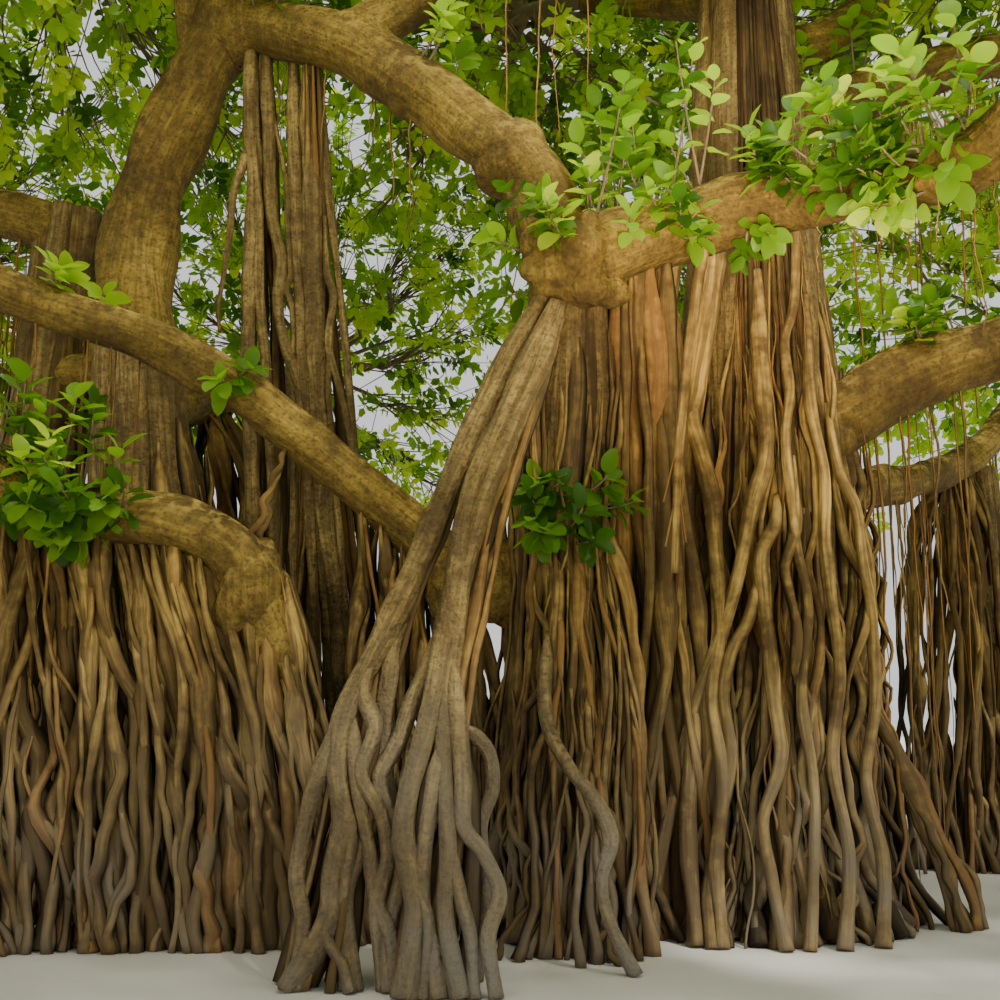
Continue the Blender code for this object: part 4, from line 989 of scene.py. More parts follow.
# %% Helpers for trunks
ROOT_GLOOM = 0.5
ROOT_SIDES = 7
ROOT_RINGS = 42
LANE_GRIP = 0.85
FLARE = 0.5
ROOT_RELIEF = 0.12
ROOT_WAVES = (1, 2.3, 4.1, 7.5)
LANE_RIDGE = 0.05
SPREAD_SHARES = (0.3, 1)
# Painted shade on the side of a root that faces away from out, into the trunk.
INWARD_GLOOM = 0.9
GLOOM_FROM = 0.35

# A layer's base is its painted shade: most on the stout roots, which lie deepest, and none on those in front.
Layer = namedtuple("Layer", "share tops sit thin wide wander base tones")
LAYERS = (
    Layer(0.24, (0.7, 1.0), (0.78, 0.90), 0.070, 0.12, 0.05, 0.6, (0.0, 0.6)),
    Layer(0.42, (0.35, 1.0), (0.92, 1.06), 0.024, 0.070, 0.07, 0.2, (0.1, 0.7)),
    Layer(0.26, (0.3, 0.95), (1.06, 1.24), 0.012, 0.040, 0.10, 0.0, (0.3, 0.9)),
    Layer(0.05, (0.45, 0.9), (1.14, 1.26), 0.035, 0.055, 0.16, 0.0, (0.5, 0.62)),
)


def round_trunk(size, count, rings, rng, layer):
    """Routes of roots round a trunk, and their directions away from its middle.

    Each root goes straight down in height. Its distance from the axis is the layer's share of the core's
    radius, plus what is left to the trunk's spread times exp(-height / FLARE). Its angle sways, and is then
    drawn to the nearest lane: angle - grip sin(lanes (angle - drift)) / lanes. Lanes stand proud of the rest.
    """
    line = smooth(size.axis, LINE_STEPS)
    down = np.linspace(0, 1, rings)
    height = line[-1, 2] * size.rooted * rng.uniform(*layer.tops, (count, 1)) * (1 - down)
    centre = np.stack([np.interp(height, line[:, 2], line[:, k]) for k in range(3)], axis=-1)
    width = np.interp(height, line[:, 2], spread_over(size.core, LINE_STEPS))
    sunk = rng.uniform(*layer.sit, (count, 1))
    turn = 2 * math.pi * (np.arange(count)[:, None] + rng.uniform(-0.5, 0.5, (count, 1))) / count
    turn = turn + sway(count, rings, layer.wander, ROOT_WAVES, rng) / width
    drift = 0.16 * np.sin(1.1 * height + 3 * turn) + 0.09 * np.sin(2.7 * height + 1.0)
    grip = LANE_GRIP * (0.5 + 0.5 * np.sin(6 * down + rng.uniform(0, 6, (count, 1))))
    lane = size.lanes * (turn - drift)
    turn = turn - grip * np.sin(lane) / size.lanes
    spread = (size.spread - size.core[0] * sunk) * rng.uniform(*SPREAD_SHARES, (count, 1))
    reach = width * sunk * (1 + LANE_RIDGE * np.cos(lane)) + spread * np.exp(-height / FLARE)
    return centre + level(turn) * reach[..., None], level(turn)


def inward_shade(routes, out, sides, base):
    """Painted shade on each point of a root: base, and more on the side that faces the trunk's middle."""
    _, across, over = ring_directions(routes)
    angle = ring_angles(sides)
    across_out, over_out = (np.sum(side * out, -1)[..., None] for side in (across, over))
    outward = np.cos(angle) * across_out + np.sin(angle) * over_out
    return np.clip(base + INWARD_GLOOM * (GLOOM_FROM - outward), 0, 1)


def root_skin(routes, radii, sides, out, base, tones, rng):
    """A skin for roots, each darker than the base by a chance of its own, with painted shade darkest away
    from out.
    """
    count, rings = radii.shape
    base = base + ROOT_GLOOM * rng.uniform(0, 1, (count, 1, 1)) ** 2
    relief = sinews(count, rings, sides, ROOT_RELIEF, rng)
    shade = inward_shade(routes, out, sides, base)
    return tubes(routes, radii, sides, relief, shade, rng.uniform(*tones, count))


print(len(LAYERS), "layers of roots, with shares of", [layer.share for layer in LAYERS])

# %% [markdown]
# Each part of a trunk is one short function: its core, its lobes, the strings in its furrow, and one layer of
# its roots. Only the main trunk has a furrow. A trunk without one has painted shade on its lobes, which lie
# under its roots. On every trunk the lobes are darker on the side that faces the core, as painted shade.

# %% Trunks with their roots
CORE_SIDES = 36
CORE_RINGS = 50
CORE_SHARE = 0.82
CORE_RELIEF = 0.06
# Painted shade on the core: deep below, less above where its roots end.
CORE_GLOOM = (0.9, 0.4)
LOBE_SIDES = 16
LOBE_RINGS = 52
# Painted shade on the lobes of a trunk without a furrow, which lie under its roots.
LOBE_GLOOM = 0.25
LOBE_RELIEF = 0.035
LOBE_SCATTER = 0.08
LOBE_SWAY = 0.05
LOBE_WAVES = (1, 2.3)
LOBE_SIZES = (0.36, 0.46)
LOBE_EDGE = 0.96
LOBE_FADE = ((0, 0.45, 0.85, 1), (1, 1, 0.6, 0.5))
LOBE_RIPPLE = 0.05
LOBE_RIPPLES = 23
LOBE_TONES = (0.3, 0.6)
STRING_SIDES = 4
STRING_SPREAD = 0.36
STRING_FAN = ((0, 0.5, 1), (0.9, 1.2, 1.5))
STRING_SWAY = 0.04
STRING_WAVES = (1, 3, 8, 15)
STRING_DEPTHS = (0.74, 0.98)
STRING_RISE = 0.12
STRING_STOPS = (0.3, 0.8)
STRING_WIDTHS = (0.012, 0.03)
# Painted shade that darkens the furrow's strings, most at the top.
STRING_GLOOM = 0.95
SIDE_ROOTS = 0.8
SIDE_STARTS = (0.35, 0.85)
SIDE_REACH = 0.2
FRONT = -math.pi / 2


def trunk_core(size, rng):
    """The middle of a trunk, narrower than its solid, with ridges that drift round it, dark with painted
    shade.
    """
    line = smooth(size.axis, CORE_RINGS)
    radii = spread_over(size.core, CORE_RINGS) * CORE_SHARE
    relief = sinews(1, CORE_RINGS, CORE_SIDES, CORE_RELIEF, rng)
    gloom = np.interp(np.linspace(0, 1, CORE_RINGS), (0.6 * size.rooted, size.rooted), CORE_GLOOM)
    return tubes(line[None], radii[None], CORE_SIDES, relief, shade=gloom[:, None], tone=[0.5])


def trunk_lobes(size, rng):
    """Thick old roots, fused long ago. They fade out on their way down, and leave a furrow in front."""
    line = smooth(size.axis, LOBE_RINGS)[::-1]
    width = spread_over(size.core, LOBE_RINGS)[::-1]
    down = np.linspace(0, 1, LOBE_RINGS)
    gaps = size.lobes - 1 if size.furrow else size.lobes
    step = (2 * math.pi - size.furrow) / gaps
    turn = FRONT + size.furrow / 2 + step * np.arange(size.lobes)[:, None]
    turn = turn + rng.uniform(-LOBE_SCATTER, LOBE_SCATTER, (size.lobes, 1))
    turn = turn + sway(size.lobes, LOBE_RINGS, LOBE_SWAY, LOBE_WAVES, rng) / width
    thick = rng.uniform(*LOBE_SIZES, (size.lobes, 1)) * width
    routes = line + level(turn) * (LOBE_EDGE * width - thick)[..., None]
    ripple = 1 + LOBE_RIPPLE * np.sin(LOBE_RIPPLES * down + turn)
    radii = thick * np.interp(down, *LOBE_FADE) * ripple
    relief = sinews(size.lobes, LOBE_RINGS, LOBE_SIDES, LOBE_RELIEF, rng)
    # painted shade: on the side facing the core, and on all lobes of a trunk without a furrow
    shade = inward_shade(routes, level(turn), LOBE_SIDES, 0.0 if size.furrow else LOBE_GLOOM)
    return tubes(routes, radii, LOBE_SIDES, relief, shade, rng.uniform(*LOBE_TONES, size.lobes))


def furrow_strings(size, rng):
    """Orange-brown, fibrous strings that fill the furrow between the front lobes and run on as orange roots,
    dark with painted shade at the top.
    """
    count = size.strings
    line = smooth(size.axis, ROOT_RINGS)[::-1]
    width = spread_over(size.core, ROOT_RINGS)[::-1]
    down = np.linspace(0, 1, ROOT_RINGS)
    fan = np.interp(down, *STRING_FAN)
    turn = FRONT + rng.uniform(-STRING_SPREAD, STRING_SPREAD, (count, 1)) * size.furrow * fan
    turn = turn + sway(count, ROOT_RINGS, STRING_SWAY, STRING_WAVES, rng) / width
    reach = width * (rng.uniform(*STRING_DEPTHS, (count, 1)) + STRING_RISE * down)
    stop = rng.uniform(*STRING_STOPS, (count, 1))
    routes = at_share(line + level(turn) * reach[..., None], stop * down)
    radii = rng.uniform(*STRING_WIDTHS, (count, 1)) * (1.1 - 0.5 * down)
    tone = 0.6 + 0.35 * rng.uniform(0, 1, count)
    gloom = (STRING_GLOOM - STRING_GLOOM * stop * down) * rng.uniform(0.75, 1, (count, 1))
    gloom = np.broadcast_to(gloom[..., None], (count, ROOT_RINGS, STRING_SIDES))
    return tubes(routes, radii, STRING_SIDES, shade=gloom, tone=tone)


def trunk_layer(size, layer, rng):
    """One layer of roots of a trunk, with the side roots that part from them."""
    count = int(layer.share * size.roots)
    routes, out = round_trunk(size, count, ROOT_RINGS, rng, layer)
    radii = rng.uniform(layer.thin, layer.wide, (count, 1)) * size.coarse * swelling(count, ROOT_RINGS, rng)
    roots = root_skin(routes, radii, ROOT_SIDES, out, layer.base, layer.tones, rng)
    route, wide = parted(routes, radii, SIDE_ROOTS, SIDE_STARTS, SIDE_REACH, rng)
    away = unit((route - [*size.axis[0][:2], 0]) * [1, 1, 0])
    return joined([roots, root_skin(route, wide, ROOT_SIDES - 2, away, layer.base, layer.tones, rng)])


for seed, (name, size) in enumerate(TRUNKS.items()):
    rng = np.random.default_rng(200 + seed)
    make_piece(name + "_core", trunk_core(size, rng), [ROOT_BARK], [name])
    make_piece(name + "_lobes", trunk_lobes(size, rng), [LIMB_BARK], [name])
    for number, layer in enumerate(LAYERS):
        make_piece(f"{name}_roots_{number}", trunk_layer(size, layer, rng), [ROOT_BARK], [name])
    if size.strings:
        make_piece(name + "_strings", furrow_strings(size, rng), [ROOT_BARK], [name])
    print(name, sum(value for key, value in counts.items() if key.startswith(name)), "triangles")

# %% [markdown]
# ### Roots drawn one by one
# A drawn root is a small bough: it has the same kind of relief, only stronger. It is slim where it parts from
# another root, and broader at its foot. Those on the main trunk take the bark of roots, and the others, which
# are old and grey, the bark of limbs.

# %% Roots drawn one by one
DRAWN_SIDES = 14
DRAWN_STEP = 0.035
RIDGE = 0.05
RIPPLE = 9
DRAWN_POWER = 1.6
DRAWN_TOP = 0.5
DRAWN_GROWTH = 5
DRAWN_FOOT = 0.3
DRAWN_SHARPNESS = 16
DRAWN_TONES = (0.4, 0.62)


def drawn_root(root, rng):
    """One drawn root: its relief is a bough's, made stronger by a power, plus a ripple along its length."""
    length = length_of(smooth(root.points, LENGTH_STEPS))
    rings = int(length / DRAWN_STEP)
    down = np.linspace(0, 1, rings)
    taper = root.thick + (root.thin - root.thick) * down
    foot = 1 + DRAWN_FOOT * down**DRAWN_SHARPNESS
    radii = taper * np.minimum(1, DRAWN_TOP + DRAWN_GROWTH * down) * foot
    relief = muscle(length, rings, DRAWN_SIDES, rng) ** DRAWN_POWER
    relief += RIDGE * np.sin(RIPPLE * length * down[:, None] + rng.uniform(0, 6))
    route = smooth(root.points, rings)
    return tubes(route[None], radii[None], DRAWN_SIDES, relief[None], tone=[rng.uniform(*DRAWN_TONES)])


for seed, (bundle, roots) in enumerate(DRAWN_ROOTS.items()):
    rng = np.random.default_rng(350 + seed)
    finish = ROOT_BARK if bundle in ("main_trunk", "pale_root") else LIMB_BARK
    skin = joined([drawn_root(root, rng) for root in roots])
    make_piece(bundle + "_limbs", skin, [finish], [bundle])
    print(bundle, len(roots), "drawn roots")

# %% [markdown]
# ### Curtains, prop roots and pillars
# Under the boughs the roots hang free of any trunk. Some have fused into legs that prop a bough up, others
# stand side by side as a curtain. They leave the bough together, twist about each other and splay at the
# ground. A bundle has roots at the back that are dark with painted shade, stout ones that part twice, and
# thin ones in front, and every root is darker on its back side, as painted shade. Each of these layers has
# how far behind it lies, its thinnest and widest radius as shares of the bundle's, how far it wanders and how
# much painted shade it carries.

# %% Curtains and props
ROOT_TWIST = 0.3
ROOT_FRONT = 0.55
BUNDLE_TONES = (0.0, 0.85)
ACROSS_WAVES = (1, 2.6, 5, 9)
FRONT_WAVES = (1.5, 4, 8)
FRONT_SWAY = 0.8
HUNG_SHARE = 0.25
STOUT_TAPER = (1.1, 0.75)
FIRST_STARTS = (0.3, 0.65)
SECOND_STARTS = (0.2, 0.7)
SECOND_REACH = 0.7
# Roots get painted shade on the side away from this.
TO_FRONT = np.array([0.0, -1.0, 0.0])

# A layer's base is its painted shade: most on the roots at the back.
BundleLayer = namedtuple("BundleLayer", "behind thin wide wander base")
BUNDLE_LAYERS = {
    "back": BundleLayer(0.9, 0.5, 1.1, 1.0, 0.78),
    "stout": BundleLayer(0.1, 1.3, 2.0, 0.9, 0.12),
    "thin": BundleLayer(-0.3, 0.35, 1.0, 1.1, 0.0),
}


def bundle_routes(size, count, rings, rng, layer):
    """Routes of the roots in one bundle.

    A root's place across the bundle is its number's place plus a slow twist and a sway, drawn to one of a
    few lanes, and its place from front to back is a cosine of that place, moved back by its layer.
    """
    line = smooth(size.points, rings)
    reach = spread_over(size.widths, rings)
    down = np.linspace(0, 1, rings)
    place = 2 * (np.arange(count)[:, None] + rng.uniform(0.1, 0.9, (count, 1))) / count - 1
    phase = rng.uniform(0, 2 * math.pi, (count, 1))
    place = place + ROOT_TWIST * np.sin(4 * down + phase) * np.sin(math.pi * down)
    lane = math.pi * size.lanes * (place - 0.12 * np.sin(5 * down))
    grip = LANE_GRIP * (0.5 + 0.5 * np.sin(7 * down + phase))
    place = place - grip * np.sin(lane) / (math.pi * size.lanes)
    across = reach * place + sway(count, rings, size.thick * layer.wander, ACROSS_WAVES, rng)
    front = ROOT_FRONT * reach * (np.cos(lane + 0.4 * phase) * 0.5 + layer.behind)
    front = front + sway(count, rings, size.thick * FRONT_SWAY, FRONT_WAVES, rng)
    return line + np.stack([across, front, np.zeros((count, rings))], axis=-1)


def hung_from(routes, bough_name):
    """The same routes with each root's top moved onto the line of the bough that it hangs from."""
    line, _ = bough_line(BOUGHS[bough_name], LINE_STEPS)
    apart = np.linalg.norm(routes[:, :1, :2] - line[None, :, :2], axis=2)
    top = line[apart.argmin(axis=1)]
    down = np.linspace(0, 1, routes.shape[1])[None, :, None]
    return routes + (top - routes[:, 0])[:, None] * np.clip(1 - down / HUNG_SHARE, 0, 1) ** 2


def bundle_layer(size, kind, count, rng):
    """Skins of one layer of a bundle: its roots, and where they are stout, two rounds of side roots."""
    layer = BUNDLE_LAYERS[kind]
    skins = []
    routes = bundle_routes(size, count, ROOT_RINGS, rng, layer)
    if size.bough:
        routes = hung_from(routes, size.bough)
    radii = size.thick * rng.uniform(layer.thin, layer.wide, (count, 1)) * swelling(count, ROOT_RINGS, rng)
    if size.points[-1][2] <= 0 and kind == "stout":
        radii = radii * np.linspace(*STOUT_TAPER, ROOT_RINGS)
        first = parted(routes, radii, size.parts, FIRST_STARTS, size.part_reach, rng)
        second = parted(*first, 1.0, SECOND_STARTS, SECOND_REACH * size.part_reach, rng)
        skins = [root_skin(*side_roots, ROOT_SIDES - 1, TO_FRONT, layer.base, BUNDLE_TONES, rng)
                 for side_roots in (first, second)]
    return skins + [root_skin(routes, radii, ROOT_SIDES, TO_FRONT, layer.base, BUNDLE_TONES, rng)]


for seed, (name, size) in enumerate(BUNDLES.items()):
    rng = np.random.default_rng(300 + seed)
    layers = [bundle_layer(size, kind, count, rng) for kind, count in zip(BUNDLE_LAYERS, size.roots) if count]
    make_piece(name + "_roots", joined(sum(layers, [])), [ROOT_BARK], [name] if size.node else [])
print(sum(counts.values()), "triangles in all the wood so far")

# %% [markdown]
# ### Roots that hang in the air
# Young roots are as thin as string, orange-brown, and hang straight down from the boughs with hardly a bend.
# Each row of them has its bough, the stretch of it that they hang from, how many they are, how far they
# drop and their radii.

# %% Hanging roots
AIR_SIDES = 3
AIR_RINGS = 14
AIR_SWAY = 0.03
AIR_WAVES = (1, 2.5, 6)
AIR_SUNK = 0.8
AIR_SCATTER = 0.05
AIR_TOP = 1.15
AIR_THINNING = 0.6
AIR_TONES = (0.6, 1.0)
STRAIGHT_DOWN = np.array([0.0, 0.0, -1.0])

AirRoots = namedtuple("AirRoots", "bough shares count drops widths")
AIR_ROOTS = [
    AirRoots("right_bough", (0.1, 0.9), 40, (0.6, 4.0), (0.006, 0.014)),
    AirRoots("low_right_bough", (0.2, 0.9), 34, (0.8, 4.0), (0.006, 0.014)),
    AirRoots("upper_right_bough", (0.2, 0.9), 40, (1.0, 5.0), (0.006, 0.013)),
    AirRoots("right_front_bough", (0.25, 0.9), 16, (0.3, 1.8), (0.004, 0.01)),
    AirRoots("long_left_bough", (0.45, 0.75), 26, (0.5, 2.2), (0.005, 0.012)),
    AirRoots("arch_bough", (0.05, 0.8), 10, (0.3, 1.5), (0.005, 0.012)),
    AirRoots("upper_left_bough", (0.2, 0.9), 10, (0.5, 2.5), (0.005, 0.012)),
    AirRoots("left_back_bough", (0.1, 0.9), 24, (1.0, 5.0), (0.006, 0.014)),
    AirRoots("left_rear_bough", (0.1, 0.9), 24, (1.0, 5.0), (0.006, 0.014)),
    AirRoots("rear_right_bough", (0.2, 0.95), 30, (0.8, 4.5), (0.006, 0.014)),
    AirRoots("rear_left_bough", (0.2, 0.95), 30, (0.8, 4.5), (0.006, 0.014)),
]


def air_row(row, rng):
    """Thin roots that start on the underside of a bough at random shares of its length and hang down."""
    line, wide = bough_line(BOUGHS[row.bough], LINE_STEPS)
    share = rng.uniform(*row.shares, (1, row.count))
    start = at_share(line[None], share)[0]
    start[:, 2] -= AIR_SUNK * at_share(wide[None, :, None], share)[0, :, 0]
    start[:, :2] += rng.normal(0, AIR_SCATTER, (row.count, 2))
    drop = np.minimum(rng.uniform(*row.drops, row.count), start[:, 2])
    down = np.linspace(0, 1, AIR_RINGS)
    routes = start[:, None] + (drop[:, None] * down)[..., None] * STRAIGHT_DOWN
    for side in (0, 1):
        routes[..., side] += sway(row.count, AIR_RINGS, AIR_SWAY, AIR_WAVES, rng)
    radii = rng.uniform(*row.widths, (row.count, 1)) * (AIR_TOP - AIR_THINNING * down)
    return tubes(routes, radii, AIR_SIDES, tone=rng.uniform(*AIR_TONES, row.count))


rng = np.random.default_rng(400)
make_piece("air_roots", joined([air_row(row, rng) for row in AIR_ROOTS]), [ROOT_BARK])
print(counts["air_roots"], "triangles in the thin roots")

# %% [markdown]
# One root under the right front bough is as thick as an arm. It is still on its way down, and its end has
# frayed into strings.

# %% The long hanging root
HANGING_BEND = 0.06
HANGING_RELIEF = 0.1
HANGING_THINNING = 0.45
FRAYED = 9
FRAYED_RINGS = 20
FRAYED_RADIUS = 0.008
FRAYED_STARTS = (0.6, 0.8)
FRAYED_LENGTHS = (0.12, 0.2)
FRAYED_SPREAD = 0.035
FRAYED_TONES = (0.7, 1)


def long_hanging_root(size, rng):
    """The one thick root that hangs free: it bends slightly, thins downwards and frays into a few strings."""
    down = np.linspace(0, 1, ROOT_RINGS)
    bend = np.stack([HANGING_BEND * np.sin(3 * down) - size.lean * down, 0 * down, size.drop * down], axis=1)
    main = (np.asarray(size.start) - bend)[None]
    relief = sinews(1, ROOT_RINGS, ROOT_SIDES, HANGING_RELIEF, rng)
    root = tubes(main, size.thick * (1 - HANGING_THINNING * down)[None], ROOT_SIDES, relief, tone=[0.6])
    along = np.linspace(0, 1, FRAYED_RINGS)
    share = rng.uniform(*FRAYED_STARTS, (FRAYED, 1)) + rng.uniform(*FRAYED_LENGTHS, (FRAYED, 1)) * along
    frayed = at_share(np.repeat(main, FRAYED, axis=0), share)
    frayed += rng.normal(0, FRAYED_SPREAD, (FRAYED, 1, 3)) * along[:, None] * [1, 1, 0.3]
    radii = np.full((FRAYED, FRAYED_RINGS), FRAYED_RADIUS)
    return joined([root, tubes(frayed, radii, AIR_SIDES, tone=rng.uniform(*FRAYED_TONES, FRAYED))])


skin = long_hanging_root(HANGING_ROOT, np.random.default_rng(410))
make_piece("hanging_root_bark", skin, [ROOT_BARK], ["hanging_root"])
print(counts["hanging_root_bark"], "triangles in the long one")

# %% [markdown]
# ## The crown's room
# The crown is a broad dome over a vault, and it lets a person walk in under its front. Its leaves are kept
# to sixteen masses, each carried by one bough. A mass owns every point of the crown that is nearer its own
# middle than any other's. These are the solids' own rules, so the leaves fill the room that the solids mark.

# %% The crown's rules
CROWN_CENTRE = np.array([-2.0, 0.5])
CROWN_RADII = np.array([13.0, 11.5])
CROWN_EDGE = 0.985
CROWN_TOP = 15.5
CROWN_RIM = 6.6
DOME_CURVE = 2.4
VAULT_TOP = 8.6
VAULT_RIM = 3.9
VAULT_CURVE = 1.6
FRONT_EDGE = -10.2
FRONT_HEIGHT = 1.7
FRONT_SLOPE = 0.65
FRONT_DEPTH = -0.8

Ring = namedtuple("Ring", "count share height turn")
RINGS = {
    "outer": Ring(10, 0.74, 7.4, 0.0),
    "upper": Ring(5, 0.37, 11.0, 18.0),
    "top": Ring(1, 0.0, 13.3, 0.0),
}


def crown_shells(points):
    """For each point, the dome's height over it, the vault's under it, and whether it is within."""
    share = np.linalg.norm((points[:, :2] - CROWN_CENTRE) / CROWN_RADII, axis=1)
    top = CROWN_RIM + (CROWN_TOP - CROWN_RIM) * np.sqrt(np.clip(1 - share**DOME_CURVE, 0, None))
    bottom = VAULT_RIM + (VAULT_TOP - VAULT_RIM) * (1 - share**VAULT_CURVE)
    front = FRONT_HEIGHT + FRONT_SLOPE * (points[:, 1] - FRONT_EDGE)
    bottom = np.where(points[:, 1] < FRONT_DEPTH, np.maximum(bottom, front), bottom)
    return top, bottom, share < CROWN_EDGE


def mass_centres():
    """The middle of each mass, by ring and number."""
    centres = {}
    for name, ring in RINGS.items():
        for i in range(ring.count):
            angle = math.radians(ring.turn + 360 * i / ring.count)
            flat = CROWN_CENTRE + ring.share * CROWN_RADII * [math.cos(angle), math.sin(angle)]
            centres[name, i] = np.append(flat, ring.height)
    return centres


CENTRES = mass_centres()
print(len(CENTRES), "masses")

# %% [markdown]
# ## Where the sprays sit
# Leaves grow where there is light: near the outside of the dome, and in a thinner layer along the underside.
# Points are strewn through the whole crown, and each is kept with a chance that falls off with its distance
# from those two shells. Seen from far, a crown is a heap of rounded lumps, so the outer shell dips between
# them. Every point that stays becomes the tip of a twig with a spray of leaves.

# %% Spray tips
TIPS = 12950
STREWN_PER_TIP = 40
DOME_LAYER = 1.5
VAULT_LAYER = 0.8
VAULT_SHARE = 0.8
INNER_SHARE = 0.10
UNDER_DOME = 0.25
OVER_VAULT = 0.35
DIPS = 0.28
DIP_START = 0.2
LUMPS_PER_METRE = 0.32
CLEAR_OF_WOOD = 0.45
WOOD_STEPS = 24
SLICES = 40


def distance_to_wood(points):
    """How far each point lies from the nearest line of a bough or trunk, in slices that spare memory."""
    limbs = [size.points for size in BOUGHS.values()] + [size.axis for size in TRUNKS.values()]
    line = np.concatenate([smooth(limb, WOOD_STEPS) for limb in limbs])
    return np.concatenate([np.linalg.norm(part[:, None] - line, axis=2).min(axis=1)
                           for part in np.array_split(points, SLICES)])


def spray_tips(rng):
    """Points where the sprays sit: strewn evenly, then kept by their distance from the dome and the vault.

    A point counts as further out than it is, by up to the share that the crown dips there.
    """
    low = np.append(CROWN_CENTRE - CROWN_RADII, VAULT_RIM)
    high = np.append(CROWN_CENTRE + CROWN_RADII, CROWN_TOP)
    points = rng.uniform(low, high, (STREWN_PER_TIP * TIPS, 3))
    middle = np.append(CROWN_CENTRE, CROWN_RIM)
    dips = DIPS * (slow_clouds(LUMPS_PER_METRE * points) - DIP_START).clip(0, 1)
    outer = middle + (points - middle) * (1 + dips[:, None])
    top, bottom, inside = crown_shells(outer)
    under, over = top - UNDER_DOME - outer[:, 2], outer[:, 2] - bottom - OVER_VAULT
    chance = np.maximum.reduce([np.exp(-under / DOME_LAYER), VAULT_SHARE * np.exp(-over / VAULT_LAYER),
                                np.full(len(points), INNER_SHARE)])
    points = points[inside & (under > 0) & (over > 0) & (rng.uniform(size=len(points)) < chance)]
    points = points[distance_to_wood(points) > CLEAR_OF_WOOD]
    return points[:TIPS]


tips = spray_tips(np.random.default_rng(500))
owner = np.linalg.norm(tips[:, None] - np.array(list(CENTRES.values())), axis=2).argmin(axis=1)
shares = np.bincount(owner)
print(len(tips), "sprays; the smallest mass has", shares.min(), "and the largest", shares.max())

# %% [markdown]
# ## Twigs
# Inside a mass the bough goes on as a stem to the middle. Limbs part from it, each towards a group of spray
# tips, and every tip gets a twig from its own limb. This is how a real crown fills its room, and it costs far
# less than letting twigs search for light step by step.

# %% Twigs of one mass
STEM_START = 0.4
STEM_END = 0.8
STEM_WIDTHS = (0.11, 0.05)
STEM_RINGS = 24
STEM_SIDES = 8
STEM_RELIEF = 0.05
LIMB_WIDTHS = (0.05, 0.018)
LIMB_RINGS = 9
LIMB_SIDES = 5
LIMB_KINKS = 0.05
BRANCHING = (0.45, 1.0)
TWIG_WIDTHS = (0.013, 0.006)
TWIG_RINGS = 3
TWIG_SIDES = 3
TIPS_PER_LIMB = 26
GROUPING_ROUNDS = 4


def mass_stem(bough, centre):
    """The stem that carries a mass on from its bough's tip."""
    route = smooth(bough.points, STEM_RINGS)
    heading = unit(route[-1] - route[-2])
    outward = unit(centre - np.append(CROWN_CENTRE, VAULT_TOP))
    points = [route[-1], route[-1] + heading * STEM_START, centre, centre + outward * STEM_END]
    return smooth(points, STEM_RINGS)


def groups_of(points, count, rng):
    """Splits points into groups round seeds that are moved to their groups' middles a few times."""
    seeds = points[rng.permutation(len(points))[:count]]
    for _ in range(GROUPING_ROUNDS):
        nearest = np.linalg.norm(points[:, None] - seeds, axis=2).argmin(axis=1)
        seeds = np.array([points[nearest == k].mean(axis=0) if np.any(nearest == k) else seeds[k]
                          for k in range(count)])
    return nearest, seeds


def bent_route(start, leave, end, rings):
    """Routes that leave start in one direction and curve to end: quadratic curves of Bezier's kind.

    The middle point lies half the distance from start along the direction of leaving.
    """
    far = np.linalg.norm(end - start, axis=1, keepdims=True)
    middle = start + leave * far * 0.5
    t = np.linspace(0, 1, rings)[None, :, None]
    return (1 - t) ** 2 * start[:, None] + 2 * t * (1 - t) * middle[:, None] + t**2 * end[:, None]


def tapered(routes, widths, sides, relief=1.0):
    """Tubes that all thin from the first width to the last."""
    radii = np.broadcast_to(spread_over(widths, routes.shape[1]), routes.shape[:2])
    return tubes(routes, radii, sides, relief)


def grow_twigs(stem, points, rng):
    """The skin of one mass's stem, limbs and twigs, and the routes of its twigs."""
    relief = sinews(1, STEM_RINGS, STEM_SIDES, STEM_RELIEF, rng)
    nearest, seeds = groups_of(points, max(4, len(points) // TIPS_PER_LIMB), rng)
    fork = rng.uniform(*BRANCHING, (1, len(seeds)))
    start = at_share(stem[None], fork)[0]
    leave = unit(unit(seeds - start) + unit(stem[-1] - stem[-6]))
    limbs = bent_route(start, leave, seeds, LIMB_RINGS)
    limbs[:, 1:-1] += rng.normal(0, LIMB_KINKS, limbs[:, 1:-1].shape)
    share = rng.uniform(*BRANCHING, len(points))
    base = at_share(limbs[nearest], share[:, None])[:, 0]
    ahead = unit(limbs[nearest, -1] - limbs[nearest, -3])
    twigs = bent_route(base, unit(ahead + unit(points - base)), points, TWIG_RINGS)
    wood = [tapered(stem[None], STEM_WIDTHS, STEM_SIDES, relief),
            tapered(limbs, LIMB_WIDTHS, LIMB_SIDES), tapered(twigs, TWIG_WIDTHS, TWIG_SIDES)]
    return joined(wood), twigs


print("about", round(TIPS / len(CENTRES) / TIPS_PER_LIMB), "limbs to a mass")

# %% [markdown]
# ## Leaves
# A banyan's leaf is a broad, leathery oval with a blunt tip. It stands on a short stalk, and several sit in
# a loose spiral round the end of each twig. A leaf here is an outline of five points with its broad sides
# turned up a little, because a crown has far too many for more. Each leaf turns on from the last by the
# golden angle, as on a real twig, and droops as it leans out.

# %% Sprays of leaves
LEAVES_PER_SPRAY = 14
LEAF_LENGTH = 0.186
LEAF_SIZES = (0.72, 1.15)
SPRAY_LENGTH = 0.26
STALK = 0.12
LEAST_LEAN = 28
LEAN_RANGE = 62
DROOP = 0.35
TURN_SCATTER = 0.3
FACE_OUT = 0.8
FACE_SCATTER = 0.3
STEP_SCATTER = 0.6
GOLDEN_ANGLE = math.pi * (3 - math.sqrt(5))

